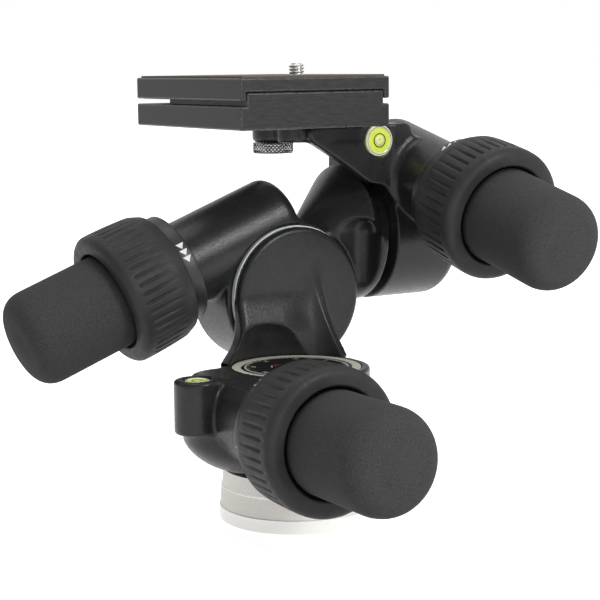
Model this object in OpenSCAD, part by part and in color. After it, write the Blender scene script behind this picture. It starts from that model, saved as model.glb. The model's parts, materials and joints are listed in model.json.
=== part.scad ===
// Geared tripod head with three worm axes, quick set collars and a sliding camera plate.
// Millimetres, Z up, origin at the centre of the tripod face on the pan axis.

/* [Base] */
// Radius of the foot on the tripod
base_r = 30; // [29.6:0.2:32]
// Height of the fixed base
base_h = 19.6; // [18.6:0.2:19.8]
// Height of the bright machined ring
ring_h = 5.3; // [4:0.1:6.5]
// Height of the seam around the base
seam_z = 13.2; // [12.6:0.1:14]
// Thread bore radius of the tripod socket
socket_r = 4; // [3.9:0.05:4.1]
// Depth of the tripod socket
socket_l = 12; // [10:0.5:12.4]

/* [Pan unit] */
// Radius of the round pan housing
pan_r = 27.9; // [27.6:0.1:28.2]
// Height of the flat top of the pan housing
pan_top = 57.6; // [57:0.1:58]
// Height of the pan gear
pan_z = 44.8; // [44.6:0.1:45]
// Radius of the dial face
dial_r = 20.6; // [19:0.1:20.8]
// Outer radius of the dial ring
bezel_r = 24.5; // [23.5:0.1:24.6]
// Radius of the level boss
boss_r = 8.5; // [7:0.1:9]
// Radius of the level vial in the boss
vial_r = 4.5; // [3.5:0.1:5]

/* [Tilt unit] */
// Distance of the tilt axis to the right of the pan axis
tilt_x = 16; // [15.8:0.1:16.6]
// Distance of the tilt gear behind the pan axis
tilt_y = 43.5; // [43.4:0.1:44]
// Height of the tilt axis
tilt_z = 80.5; // [80.2:0.1:80.8]
// Slope of the tilt knob below level
tilt_a = 21.1; // [18:0.1:22]
// Radius of the column disc
disc_r = 27.3; // [26.3:0.1:27.4]
// Front face of the column disc behind the pan axis
disc_y = 22; // [21.6:0.1:22.4]
// Radius of the tilt drum
drum_r = 29.3; // [28.6:0.1:29.4]

/* [Side unit] */
// Distance of the side gear to the right of the pan axis
side_x = 74.4; // [74.4:0.1:75.4]
// Height of the side axis
side_z = 102.9; // [102.6:0.1:103.2]
// Slope of the side knob below level
side_a = 14.2; // [10:0.1:14.5]
// Radius of the side drum and its flange
side_r = 28.3; // [27.8:0.1:28.5]
// Radius of the round level on the bracket
level_r = 6.3; // [5.6:0.1:6.4]

/* [Gears] */
// Centre distance of worm and wheel
gear_c = 28; // [27.9:0.05:28.1]
// Pitch radius of each worm
worm_r = 6; // [5.95:0.05:6.05]
// Face width of each wheel
wheel_w = 6; // [5:0.5:6.5]
// Radius of each axis spindle
spindle_r = 9; // [8.5:0.1:9.5]

/* [Knobs] */
// Grip radius
grip_r = 18.6; // [17.6:0.1:18.6]
// Grip length in front of the collar
grip_l = 39.6; // [35:0.2:42]
// Rounding at the end of the grip
grip_f = 7.6; // [6:0.1:8.5]
// Radius over the collar ribs
rib_r = 26.4; // [26:0.1:26.6]
// Radius at the back of the collar
collar_r = 24.4; // [24:0.1:24.8]
// Opening radius at the front of the collar
mouth_r = 20.1; // [19.9:0.1:20.4]
// Number of collar ribs
ribs = 44; // [30:2:48]
// Index ring radius
index_r = 21.8; // [21.4:0.1:22.4]
// Collar mouth distance from the pan gear
pan_reach = 72.2; // [71:0.1:73]
// Collar mouth distance from the tilt gear
tilt_reach = 68.4; // [67:0.1:69]
// Collar mouth distance from the side gear
side_reach = 70.2; // [69:0.1:71]
// Radius of the gear arms
arm_r = 17; // [16.8:0.1:17.2]
// Shift of each arm towards its wheel
arm_off = 0.5; // [0.3:0.1:0.8]

/* [Platform] */
// Width of the block and plate
plate_w = 65.4; // [62:0.2:68]
// Length of the block and plate
plate_l = 87.5; // [84:0.5:92]
// Underside of the block
block_z = 147.2; // [147:0.1:147.6]
// Height of the block below the tongue
block_h = 8.8; // [8.6:0.1:9.4]
// Height of the tongue
tongue_h = 5; // [4.6:0.1:5.4]
// Thickness of the plate over the tongue
plate_t = 5.1; // [4.6:0.1:5.6]
// Thickness of the plate pad
pad_t = 0.7; // [0.5:0.1:1]
// Radius of the camera screw
screw_r = 3.175; // [3.1:0.025:3.2]
// Height of the camera screw above the pad
screw_up = 4.5; // [4:0.1:5.5]
// Radius of the knurled lock knob
lock_r = 8.3; // [7:0.1:8.8]

/* [Hidden] */
$fn = 96;

// Small clearances
run = 0.05;
gap = 0.3;
eps = 0.01;

// Gear sizes, with the tooth count that the knobs turn by
teeth = 48;
wheel_p = gear_c - worm_r;
pitch = 2 * PI * wheel_p / teeth;
add = 0.6;
ded = 1.1;
wheel_tip = wheel_p + add;
wheel_root = wheel_p - ded;
worm_tip = worm_r + add;
worm_root = worm_r - add - 0.4;
tip_w = 0.88;
root_w = 1.6;
cav_r = wheel_tip + 0.8;
cav_h = wheel_w / 2 + 3;
worm_turns = 5;
worm_steps = 20;

// Sizes shared by the three gear arms
arm_back = 14.5;
arm_round = 6;
bore_r = 11.5;
bore_back = 12;
nose_r = 14.5;
nose_back = 31.6;
nose_end = 10;
index_end = 26.2;
collar_back = 25.9;
mouth_deep = 6.5;
web_back = 9.5;
web_r = 12.4;
clip_back = 12.6;
clip_t = 1.2;
clip_deep = 0.5;
pivot_back = 28.5;
pin_r = 1.5;
pin_in = 6.2;
pin_out = nose_r - 0.2;
shaft_r = 4;
shaft_back = 11.2;
worm_back = 8.2;
worm_room = 8.5;
cradle_r = 9.2;
cradle_back = 11.5;
cradle_flat = 6.2;
hub_flange_r = grip_r - 1;
hub_back = 5.5;
hub_front = 2;
hub_r = 12;
hub_len = 28;
shaft_front = 20;
spring_w = 0.8;
spring_r = 16.6;
pocket_r = 18.6;
pocket_l = 5.4;
rib_deep = 0.9;
rib_front = 5;
rib_back = 21.6;

// Heights and depths worked out from the sizes above
house_z = base_h + 0.6;
dial_t = 2;
recess_z = pan_top - dial_t - gap;
bear_r = 13;
key_r = 16;
key_deep = 1.8;
key_hole_r = 1.6;
bush_r = 9.5;
foot_well = 16;
foot_edge = 0.4;
foot_lean = 0.7;
foot_step = 1.1;
foot_top = 1.5;
bolt_r = 2;
bolt_head_r = 3.6;
bolt_head_h = 4;
bolt_well_r = 4;
bolt_key_r = 1.7;
bolt_key_h = 2;
bolt_up = 1;
spindle_foot = 4;
drum_back = 16.5;
cap_r = 24;
cap_t = 3;
cap_boss = 5;
washer_y = disc_y + 4.8;
washer_t = 1.8;
washer_r = 27.8;
drum_front = washer_y + washer_t + 2 * gap - tilt_y;
disc_skin = 2;
toe_x = -17.5;
toe_y = 22.7;
fin_x = 28.4;
fin_y = 2;
scoop_r = 18.4;
scoop_h = 14.9;
flange_x1 = side_x - 21.1;
flange_x0 = flange_x1 - 8;
neck_x0 = flange_x0 - 17.3;
neck_r0 = 7;
side_left = 17;
side_right = 15.2;
side_round = 5;
seam_r = 22;
spindle_in = 9;
spindle_stop = 0.9;
tab_w = 5;
tab_t = 1.8;
notch_l = 5.6;
pocket_x0 = neck_x0 - 3.7;
pocket_x1 = flange_x1 - 3.8;
pocket_y = 27.5;
pocket_z = side_z + 6.8;
pocket_f = 8;
plate_x = 10.3;
plate_y0 = tilt_y + 0.05 - plate_l / 2;
plate_z = block_z + block_h;
lip_w = 2.4;
lip_up = 2;
tongue_back = 24;
top_z = plate_z + tongue_h + gap;
pad_z = top_z + plate_t;
screw_x = 27.6;
neck_r = screw_r - 0.3;
screw_y = tilt_y;
head_r = 7;
head_t = 2;
lock_x = 16.2;
lock_h = 4.4;
lock_pin_r = 3;
lock_pin_up = 7;
bolt_x = [lock_x + 6, lock_x + 20];
bolt_y = [tilt_y - 14, tilt_y + 14];
bolt_in = 4.5;
shelf_z = block_z - 6.3;
web_y0 = 18;
web_y1 = 2 * tilt_y - web_y0;
web_t = 5.6;
shelf_x0 = 3;
shelf_x1 = 62;
shelf_end = 36;
shelf_bevel = 19.7;
root_x0 = side_x - side_left + 0.2;
root_x1 = 66;
root_h = 24;
root_lean = 4;
web_x = [19, 33, 46.5, 53];
web_down = [0.6, 8, 17, 17.6];
level_x = 49.6;
level_z = block_z - level_r;
level_deep = 5;
boss_x = -46.8;
boss_y = -8.3;
boss_z = 39.2;
boss_top = pan_top + 1.4;
boss_web = 8;
vial_h = 5;
cup_x = -21.5;
cup_y = -2;
cup_r = 25.2;
cup_share = [0.24, 0.41, 0.6, 0.79, 0.91, 0.98, 1];
cup_up = [0.7, 2.3, 4, 6.3, 9.3, 12, 14.3];

// Frames of the three gear units, wheel at the origin, x along the knob
module at_pan() translate([0, 0, pan_z]) rotate([180, 0, -90]) children();
module at_tilt() translate([tilt_x, tilt_y, tilt_z]) rotate([-90, 180 - tilt_a, 0]) children();
module at_side() translate([side_x, tilt_y, side_z])
  rotate([90 + side_a, 0, 0]) rotate([0, -90, 0]) children();
// Frame on the worm, z out along the knob, wheel towards minus y
module on_worm() translate([0, gear_c, 0]) rotate([0, 90, 0]) children();
// Frame along X through the side axis
module along_side() translate([0, tilt_y, side_z]) rotate([0, 90, 0]) children();
// Frame along Y through the tilt axis, z towards the back
module along_tilt() translate([tilt_x, 0, tilt_z]) rotate([-90, 0, 0]) children();

// Rod along z with its first edge rounded
module rounded_rod(r, l, f) {
  rotate_extrude() {
    square([r - f, l]);
    translate([0, f]) square([r, l - f]);
    translate([r - f, f]) circle(f);
  }
}

// Ring along z
module ring(r1, r0, h) {
  difference() {
    cylinder(r = r1, h = h);
    translate([0, 0, -1]) cylinder(r = r0, h = h + 2);
  }
}

// Straight toothed wheel, a tooth gap facing the worm
function tooth(i, r, w) = let (a = 90 + (i + 0.5) * 360 / teeth + asin(w / 2 / r)) [r * cos(a), r * sin(a)];
function tooth_points(i) = [tooth(i, wheel_root, -root_w), tooth(i, wheel_tip, -tip_w),
                            tooth(i, wheel_tip, tip_w), tooth(i, wheel_root, root_w)];
module wheel() {
  difference() {
    translate([0, 0, -wheel_w / 2])
      linear_extrude(wheel_w) polygon([for (i = [0 : teeth - 1]) each tooth_points(i)]);
    cylinder(r = spindle_r, h = wheel_w + 2, center = true);
  }
}

// Helical thread, section by section
function thread_z(i) = (i / worm_steps - worm_turns / 2) * pitch;
function thread_a(i) = 360 * (i / worm_steps - worm_turns / 2) - 90;
function thread_pt(i, r, z) = [r * cos(thread_a(i)), r * sin(thread_a(i)), thread_z(i) + z];
function thread_ring(i) = [thread_pt(i, worm_root - 0.4, -root_w / 2), thread_pt(i, worm_tip, -tip_w / 2),
                           thread_pt(i, worm_tip, tip_w / 2), thread_pt(i, worm_root - 0.4, root_w / 2)];
function thread_side(i, j) = let (a = 4 * i + j, b = 4 * i + (j + 1) % 4)
  [[a, b, b + 4], [a, b + 4, a + 4]];
module thread() {
  n = worm_turns * worm_steps;
  sides = [for (i = [0 : n - 1]) for (j = [0 : 3]) each thread_side(i, j)];
  ends = [[3, 2, 1], [3, 1, 0], [4 * n, 4 * n + 1, 4 * n + 2], [4 * n, 4 * n + 2, 4 * n + 3]];
  polyhedron(points = [for (i = [0 : n]) each thread_ring(i)], faces = concat(sides, ends), convexity = 8);
}

// Gear arm with its nose, solid
module arm_solid(reach) {
  on_worm() {
    translate([0, -arm_off, -arm_back]) rounded_rod(arm_r, reach - nose_back + arm_back, arm_round);
    translate([0, 0, reach - nose_back - 2]) cylinder(r = nose_r, h = nose_back - nose_end + 2);
  }
}

// Room inside the arm, with the clip groove and the pivot holes
module arm_room(reach) {
  on_worm() {
    translate([0, 0, -bore_back]) cylinder(r = bore_r, h = reach + bore_back);
    translate([0, 0, reach - clip_back]) ring(nose_r + 1, nose_r - clip_deep, clip_t);
    translate([0, 0, reach - pivot_back]) rotate([0, 90, 0])
      cylinder(r = pin_r, h = 2 * nose_r + 2, center = true, $fn = 48);
  }
}

// Round room for the wheel
module wheel_room() {
  cylinder(r = cav_r, h = 2 * cav_h, center = true);
}

module grip(reach) {
  on_worm() translate([0, 0, reach + grip_l]) mirror([0, 0, 1]) difference() {
    rounded_rod(grip_r, grip_l + hub_front, grip_f);
    translate([0, 0, grip_l - hub_len]) cylinder(r = hub_r, h = hub_len + 10);
  }
}

module hub(reach) {
  on_worm() difference() {
    union() {
      translate([0, 0, reach - hub_back]) cylinder(r = hub_flange_r, h = hub_back - hub_front);
      translate([0, 0, reach - hub_front - eps]) cylinder(r = hub_r, h = hub_len + hub_front + eps);
    }
    translate([0, 0, reach - hub_back - 1]) cylinder(r = shaft_r, h = hub_back + shaft_front + 1);
  }
}

module worm(reach) {
  on_worm() {
    translate([0, 0, -shaft_back]) cylinder(r = shaft_r, h = shaft_back + reach + shaft_front);
    translate([0, 0, -worm_back]) cylinder(r = worm_root, h = 2 * worm_back + 0.5);
    thread();
  }
}

module cradle(reach) {
  on_worm() difference() {
    translate([0, 0, -cradle_back]) cylinder(r = cradle_r, h = cradle_back + reach - web_back);
    translate([0, 0, -cradle_back - 1]) cylinder(r = shaft_r + run, h = cradle_back + reach + 2);
    translate([0, 0, -worm_room]) cylinder(r = worm_tip + 0.8, h = 2 * worm_room + 0.5);
    translate([-20, -21, -worm_room]) cube([40, 20, 2 * worm_room + 0.5]);
    translate([-20, -20 - cradle_flat, -cradle_back - 1]) cube([40, 20, cradle_back + 15]);
    for (s = [-1, 1])
      translate([s * 10, 0, reach - pivot_back]) rotate([0, 90, 0])
        cylinder(r = pin_r + run, h = 2 * (10 - pin_in) + 1, center = true, $fn = 48);
  }
}

module pivots(reach) {
  on_worm() for (s = [0, 1]) mirror([s, 0, 0])
    translate([pin_in, 0, reach - pivot_back]) rotate([0, 90, 0])
      cylinder(r = pin_r, h = pin_out - pin_in, $fn = 48);
}

// Ribbed ring outline of a collar
function rib_pt(i, r, s) = let (a = (i + s) * 360 / ribs) [r * cos(a), r * sin(a)];
function rib_points(i) = [rib_pt(i, rib_r - rib_deep, 0.2), rib_pt(i, rib_r, 0.36),
                          rib_pt(i, rib_r, 0.64), rib_pt(i, rib_r - rib_deep, 0.8)];
module collar(reach) {
  lip = rib_r - mouth_r;
  on_worm() translate([0, 0, reach]) difference() {
    union() {
      rotate_extrude() {
        polygon([[nose_r + run, -collar_back], [collar_r, -collar_back], [rib_r - rib_deep, -rib_back],
                 [rib_r - rib_deep, -lip / 2], [mouth_r + lip / 2, 0], [mouth_r, 0],
                 [nose_r + run, -mouth_deep]]);
        translate([mouth_r + lip / 2, -lip / 2]) circle(lip / 2);
        translate([web_r, -web_back]) square([mouth_r - web_r + 1, web_back - mouth_deep]);
      }
      translate([0, 0, -rib_back]) linear_extrude(rib_back - rib_front) difference() {
        polygon([for (i = [0 : ribs - 1]) each rib_points(i)]);
        circle(r = mouth_r + 2);
      }
    }
    translate([0, 0, -mouth_deep]) cylinder(r = mouth_r, h = mouth_deep + 1);
    translate([0, 0, -clip_back - 0.6]) cylinder(r = nose_r + 1.8, h = clip_back + 0.6 - web_back);
    translate([0, 0, -collar_back - 1]) cylinder(r = pocket_r, h = pocket_l + 1);
  }
}

module index(reach) {
  on_worm() translate([0, 0, reach - nose_back]) ring(index_r, nose_r, nose_back - index_end);
}

module clip(reach) {
  on_worm() translate([0, 0, reach - clip_back]) ring(nose_r + 0.9, nose_r - clip_deep, clip_t);
}

module spring(reach) {
  on_worm() translate([0, 0, reach - collar_back + pocket_l - spring_w]) rotate_extrude()
    for (i = [0 : 2]) translate([spring_r, -i * spring_w * 1.6]) circle(r = spring_w, $fn = 24);
}

// Fixed base

module base_foot() {
  color([0.80, 0.80, 0.78]) difference() {
    rotate_extrude() polygon([[0, 0], [base_r - foot_edge, 0], [base_r, foot_edge], [base_r, ring_h],
                              [base_r - foot_lean / 2, ring_h + 0.2], [base_r - foot_lean, seam_z],
                              [0, seam_z]]);
    translate([0, 0, -1]) cylinder(r = bush_r, h = seam_z + 2);
    for (i = [0 : 2]) rotate(120 * i + 30) translate([foot_well, 0, -1]) {
      cylinder(r = bolt_r + gap, h = seam_z + 2, $fn = 36);
      cylinder(r = bolt_well_r, h = bolt_head_h + 2 * bolt_up, $fn = 36);
    }
  }
}

module base_collar() {
  color([0.76, 0.76, 0.74]) difference() {
    translate([0, 0, seam_z]) cylinder(r1 = base_r - foot_step, r2 = base_r - foot_top, h = base_h - seam_z);
    translate([0, 0, seam_z - 1]) cylinder(r = spindle_r + spindle_foot, h = base_h);
    for (i = [0 : 2]) rotate(120 * i + 30) translate([foot_well, 0, seam_z - 1])
      cylinder(r = bolt_r, h = bolt_head_h + bolt_up, $fn = 36);
  }
}

module tripod_bush() {
  color([0.72, 0.62, 0.36]) difference() {
    cylinder(r = bush_r, h = seam_z);
    translate([0, 0, -1]) cylinder(r = socket_r, h = socket_l + 1);
  }
}

module base_screws() {
  color([0.35, 0.35, 0.37]) for (i = [0 : 2])
    rotate(120 * i + 30) translate([foot_well, 0, 0]) difference() {
      union() {
        translate([0, 0, bolt_up]) cylinder(r = bolt_head_r, h = bolt_head_h, $fn = 36);
        translate([0, 0, bolt_up + bolt_head_h - eps])
          cylinder(r = bolt_r, h = seam_z - bolt_up + eps, $fn = 36);
      }
      cylinder(r = bolt_key_r, h = bolt_up + bolt_key_h, $fn = 6);
    }
}

module pan_spindle() {
  color([0.62, 0.63, 0.65]) {
    translate([0, 0, seam_z]) cylinder(r = spindle_r + spindle_foot, h = base_h - seam_z);
    translate([0, 0, base_h - eps]) cylinder(r = spindle_r, h = pan_top - dial_t - base_h + eps);
  }
}

module pan_wheel() {
  color([0.75, 0.62, 0.32]) at_pan() wheel();
}

module pan_dial() {
  color([0.08, 0.08, 0.09]) translate([0, 0, pan_top - dial_t]) cylinder(r = dial_r, h = dial_t);
}

// Turning pan unit

module pan_housing() {
  color([0.13, 0.13, 0.14]) difference() {
    union() {
      rotate_extrude() polygon([[0, house_z], [pan_r - 1.2, house_z], [pan_r, house_z + 2],
                                [pan_r, pan_top - 0.5], [pan_r - 0.5, pan_top], [0, pan_top]]);
      intersection() {
        at_pan() arm_solid(pan_reach);
        union() {
          translate([-60, nose_back - pan_reach, 0]) cube([60, 100, pan_top]);
          translate([-60, -100, 0]) cube([60, 100, 80 + pan_top]);
        }
      }
      translate([cup_x, cup_y, 0]) rotate_extrude()
        polygon([[0, house_z], for (i = [0 : 6]) [cup_r * cup_share[i], house_z + cup_up[i]],
                 [cup_r, boss_z - 1], [cup_r * 0.9, boss_z + 6], [cup_r * 0.6, boss_z + 14],
                 [0, boss_z + 14]]);
      translate([boss_x, boss_y, boss_z]) rounded_rod(boss_r, boss_top - boss_z, 2);
      translate([boss_x, boss_y - boss_web / 2, boss_z + 2])
        cube([cup_x - boss_x - boss_r, boss_web, pan_top - boss_z - 3.5]);
    }
    at_pan() wheel_room();
    at_pan() arm_room(pan_reach);
    translate([0, 0, house_z - 1]) cylinder(r = bear_r, h = pan_z - house_z);
    translate([0, 0, pan_z]) cylinder(r = spindle_r + run, h = pan_top);
    translate([0, 0, recess_z]) cylinder(r = bezel_r, h = dial_t + 1);
    translate([boss_x, boss_y, boss_top - vial_h]) cylinder(r = vial_r + run, h = vial_h + 1);
  }
}

module column() {
  ridge_x = tilt_x + 2.5;
  left = tilt_x - disc_r;
  color([0.14, 0.14, 0.15]) difference() {
    union() {
      along_tilt() translate([0, 0, disc_y]) rotate_extrude() {
        square([disc_r - 1.5, washer_y - disc_y]);
        translate([0, 1.5]) square([disc_r, washer_y - disc_y - 1.5]);
        translate([disc_r - 1.5, 1.5]) circle(1.5);
      }
      difference() {
        hull() {
          translate([0, 0, pan_top]) linear_extrude(1) intersection() {
            circle(r = pan_r - 0.2, $fn = 64);
            polygon([[toe_x, toe_y], [fin_x, fin_y], [pan_r, 2 * pan_r], [toe_x, 2 * pan_r]]);
          }
          translate([0, washer_y, 0]) rotate([90, 0, 0]) linear_extrude(washer_y - disc_y)
            polygon([[left + 0.2, tilt_z + 1], [left + 8, tilt_z + 9], [ridge_x, tilt_z + 16],
                     [ridge_x + 4, tilt_z - 8], [ridge_x + 7, pan_top], [left - 4.2, pan_top]]);
        }
        translate([0, 0, pan_top - 1]) cylinder(r1 = bezel_r + 0.9, r2 = scoop_r, h = scoop_h);
      }
    }
    along_tilt() translate([0, 0, disc_y + disc_skin]) cylinder(r = spindle_r, h = 10);
    along_tilt() translate([0, 0, washer_y]) cylinder(r = washer_r + gap, h = 10);
    translate([-60, -60, pan_top - 40]) cube([120, 120, 40]);
  }
}

module dial_ring() {
  color([0.86, 0.84, 0.76]) translate([0, 0, recess_z]) ring(bezel_r, dial_r + 0.6, pan_top - recess_z);
}

module pan_vial() {
  color([0.75, 0.85, 0.2]) translate([boss_x, boss_y, boss_top - vial_h])
    cylinder(r = vial_r, h = vial_h - 0.2);
}

module pan_bearing() {
  color([0.72, 0.58, 0.30]) difference() {
    translate([0, 0, base_h + run]) cylinder(r = bear_r, h = pan_z - cav_h - base_h - run);
    translate([0, 0, base_h - 1]) cylinder(r = spindle_r + run, h = pan_z);
  }
}

module tilt_spindle() {
  color([0.62, 0.63, 0.65]) along_tilt() translate([0, 0, disc_y + disc_skin])
    cylinder(r = spindle_r, h = tilt_y + drum_back - cap_t - spindle_stop - disc_y - disc_skin);
}

module tilt_wheel() {
  color([0.75, 0.62, 0.32]) at_tilt() wheel();
}

module tilt_washer() {
  color([0.86, 0.88, 0.89]) difference() {
    along_tilt() translate([0, 0, washer_y]) ring(washer_r, spindle_r, washer_t);
    translate([-60, -60, pan_top - 40]) cube([120, 120, 40]);
  }
}

// Tilt unit

module tilt_housing() {
  color([0.13, 0.13, 0.14]) difference() {
    union() {
      at_tilt() {
        translate([0, 0, drum_front]) rotate_extrude()
          polygon([[0, 0], [drum_r - 1, 0], [drum_r, 1], [drum_r, drum_back - drum_front - 3],
                   [drum_r - 3, drum_back - drum_front], [0, drum_back - drum_front]]);
        arm_solid(tilt_reach);
      }
      along_side() rotate_extrude()
        polygon([[0, neck_x0], [neck_r0, neck_x0], [side_r * 0.9, flange_x0],
                 [side_r * 0.97, flange_x0 + 1.7], [side_r, flange_x0 + 3.6],
                 [side_r, flange_x1 - 1], [side_r - 1, flange_x1], [0, flange_x1]]);
    }
    along_tilt() translate([0, 0, -20]) cylinder(r = washer_r + 0.6, h = tilt_y + drum_front + 20);
    at_tilt() {
      translate([0, 0, -cav_h]) cylinder(r = cav_r, h = cav_h + drum_back - cap_t);
      translate([0, 0, cav_h]) cylinder(r = cap_r, h = drum_back);
      translate([0, 0, drum_front - 1]) cylinder(r = bear_r, h = 1 - drum_front);
      arm_room(tilt_reach);
    }
    along_side() translate([0, 0, flange_x1 - spindle_in]) cylinder(r = spindle_r, h = 2 * spindle_in);
    flange_notch();
    linear_extrude(pocket_z) offset(pocket_f) offset(-pocket_f)
      translate([pocket_x0, -tilt_y]) square([pocket_x1 - pocket_x0, tilt_y + pocket_y]);
  }
}

// Upper half of the flange, cut back to the seam
module flange_notch() {
  intersection() {
    along_side() translate([0, 0, flange_x1 - notch_l]) ring(side_r + 1, seam_r, notch_l + 1);
    translate([0, tilt_y - side_r - 1, side_z]) cube([flange_x1 + 1, 2 * side_r + 2, side_r + 1]);
  }
}

module tilt_bearing() {
  color([0.72, 0.58, 0.30]) at_tilt() translate([0, 0, drum_front])
    ring(bear_r, spindle_r + run, -cav_h - drum_front);
}

// Screwed cover with a blind bore for the spindle end and two key holes
module cover(back) {
  difference() {
    union() {
      translate([0, 0, back - cap_t]) cylinder(r = cap_r, h = cap_t);
      translate([0, 0, back - cap_t - cap_boss]) cylinder(r = bear_r, h = cap_boss + eps);
    }
    translate([0, 0, back - cap_t - cap_boss - 1]) cylinder(r = spindle_r + run, h = cap_boss + 0.6);
    for (s = [-1, 1]) translate([s * key_r, 0, back - key_deep])
      cylinder(r = key_hole_r, h = key_deep + 1, $fn = 36);
  }
}

module tilt_cap() {
  color([0.16, 0.16, 0.17]) at_tilt() cover(drum_back);
}

module side_spindle() {
  color([0.62, 0.63, 0.65]) along_side() translate([0, 0, flange_x1 - spindle_in])
    cylinder(r = spindle_r, h = side_x + side_right - cap_t - spindle_stop - flange_x1 + spindle_in);
}

module side_wheel() {
  color([0.75, 0.62, 0.32]) at_side() wheel();
}

module side_washer() {
  color([0.07, 0.07, 0.08]) along_side() translate([0, 0, flange_x1]) difference() {
    union() {
      cylinder(r = seam_r, h = side_x - side_left - gap - flange_x1);
      for (a = [200, 320]) rotate(a) translate([seam_r - 2, -tab_w / 2, 0])
        cube([side_r - seam_r, tab_w, tab_t]);
    }
    translate([0, 0, -1]) cylinder(r = spindle_r, h = 20);
  }
}

// Platform unit

// Shelf under the block, the web that hangs from its front and the root over the side drum
module bracket() {
  translate([0, 0, shelf_z]) linear_extrude(block_z - shelf_z)
    polygon([[shelf_x0, web_y0], [shelf_x1, web_y0], [shelf_x1, web_y1], [shelf_x0 + shelf_bevel, web_y1],
             [shelf_x0, shelf_end]]);
  translate([0, web_y0 + web_t, 0]) rotate([90, 0, 0]) linear_extrude(web_t)
    polygon(concat([[shelf_x0, block_z], [shelf_x0, shelf_z]],
                   [for (i = [0 : len(web_x) - 1]) [web_x[i], shelf_z - web_down[i]]],
                   [[root_x0, shelf_z - root_h], [root_x1, shelf_z - root_h], [root_x1, block_z]]));
  translate([0, web_y1, 0]) rotate([90, 0, 0]) linear_extrude(web_y1 - web_y0)
    polygon([[root_x0, block_z], [root_x0, shelf_z - root_h], [root_x1, shelf_z - root_h],
             [root_x1 + root_lean, shelf_z - root_lean], [shelf_x1, block_z]]);
}

module side_housing() {
  color([0.13, 0.13, 0.14]) difference() {
    union() {
      along_side() translate([0, 0, side_x - side_left]) rotate_extrude() {
        square([side_r - side_round, side_left + side_right]);
        square([side_r, side_left + side_right - side_round]);
        translate([side_r - side_round, side_left + side_right - side_round]) circle(side_round);
      }
      at_side() arm_solid(side_reach);
      difference() {
        bracket();
        along_side() cylinder(r = side_r + 0.8, h = side_x - side_left - gap);
      }
    }
    at_side() {
      translate([0, 0, -side_right - 1]) cylinder(r = cap_r, h = side_right + 1 - cav_h);
      translate([0, 0, cap_t - side_right]) cylinder(r = cav_r, h = side_right - cap_t + cav_h);
      cylinder(r = bear_r, h = side_left + 1);
      arm_room(side_reach);
    }
    translate([level_x, web_y0 - 1, level_z]) rotate([-90, 0, 0])
      cylinder(r = level_r + run, h = level_deep);
    translate([lock_x, tilt_y, shelf_z - 1])
      cylinder(r = lock_pin_r + run, h = block_z - shelf_z + 2, $fn = 48);
    for (x = bolt_x, y = bolt_y)
      translate([x, y, block_z - bolt_in - gap]) cylinder(r = bolt_r, h = 2 * bolt_in, $fn = 36);
  }
}

module side_bearing() {
  color([0.72, 0.58, 0.30]) at_side() translate([0, 0, cav_h])
    ring(bear_r, spindle_r + run, side_left - cav_h);
}

module side_cap() {
  color([0.16, 0.16, 0.17]) at_side() mirror([0, 0, 1]) cover(side_right);
}

module side_vial() {
  color([0.75, 0.85, 0.2]) translate([level_x, web_y0 - 1.2, level_z]) rotate([-90, 0, 0])
    cylinder(r = level_r, h = level_deep + 0.2);
}

module block() {
  color([0.12, 0.12, 0.13]) difference() {
    union() {
      translate([plate_x - plate_w / 2, plate_y0, block_z]) cube([plate_w, plate_l, block_h]);
      translate([plate_x - plate_w / 2 + lip_w + gap, plate_y0, plate_z - eps])
        cube([plate_w - 2 * (lip_w + gap), plate_l - tongue_back, tongue_h + eps]);
    }
    translate([lock_x, tilt_y, block_z - 1]) cylinder(r = lock_pin_r + run, h = lock_pin_up + 1, $fn = 48);
    for (x = bolt_x, y = bolt_y) translate([x, y, block_z - 1]) {
      cylinder(r = bolt_r + gap, h = block_h + tongue_h + 2, $fn = 36);
      translate([0, 0, block_h - bolt_head_h + 1])
        cylinder(r = bolt_well_r, h = bolt_head_h + tongue_h + 1, $fn = 36);
    }
  }
}

module block_screws() {
  color([0.35, 0.35, 0.37]) for (x = bolt_x, y = bolt_y)
    translate([x, y, block_z - bolt_in]) difference() {
      union() {
        cylinder(r = bolt_r, h = bolt_in + block_h - bolt_head_h + eps, $fn = 36);
        translate([0, 0, bolt_in + block_h - bolt_head_h])
          cylinder(r = bolt_head_r, h = bolt_head_h, $fn = 36);
      }
      translate([0, 0, bolt_in + block_h - bolt_key_h])
        cylinder(r = bolt_key_r, h = bolt_key_h + 1, $fn = 6);
    }
}

module lock_knob() {
  color([0.78, 0.78, 0.78]) translate([lock_x, tilt_y, shelf_z - gap - lock_h]) {
    cylinder(r = lock_r, h = lock_h);
    cylinder(r = lock_pin_r, h = lock_h + block_z - shelf_z + lock_pin_up, $fn = 48);
  }
}

module camera_plate() {
  color([0.12, 0.12, 0.13]) difference() {
    translate([plate_x - plate_w / 2, plate_y0, plate_z + lip_up])
      cube([plate_w, plate_l, pad_z - plate_z - lip_up]);
    translate([plate_x - plate_w / 2 + lip_w, plate_y0 - 1, plate_z])
      cube([plate_w - 2 * lip_w, plate_l + 2, top_z - plate_z]);
    translate([screw_x, screw_y, top_z - 1]) cylinder(r = head_r + gap, h = head_t + 1 + gap);
    translate([screw_x, screw_y, top_z]) cylinder(r = screw_r + gap, h = 20, $fn = 48);
  }
}

module plate_pad() {
  color([0.36, 0.30, 0.24]) difference() {
    translate([plate_x - plate_w / 2 + 1.5, plate_y0 + 1.5, pad_z]) cube([plate_w - 3, plate_l - 3, pad_t]);
    translate([screw_x, screw_y, pad_z - 1]) cylinder(r = screw_r + gap, h = 5, $fn = 48);
  }
}

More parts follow.
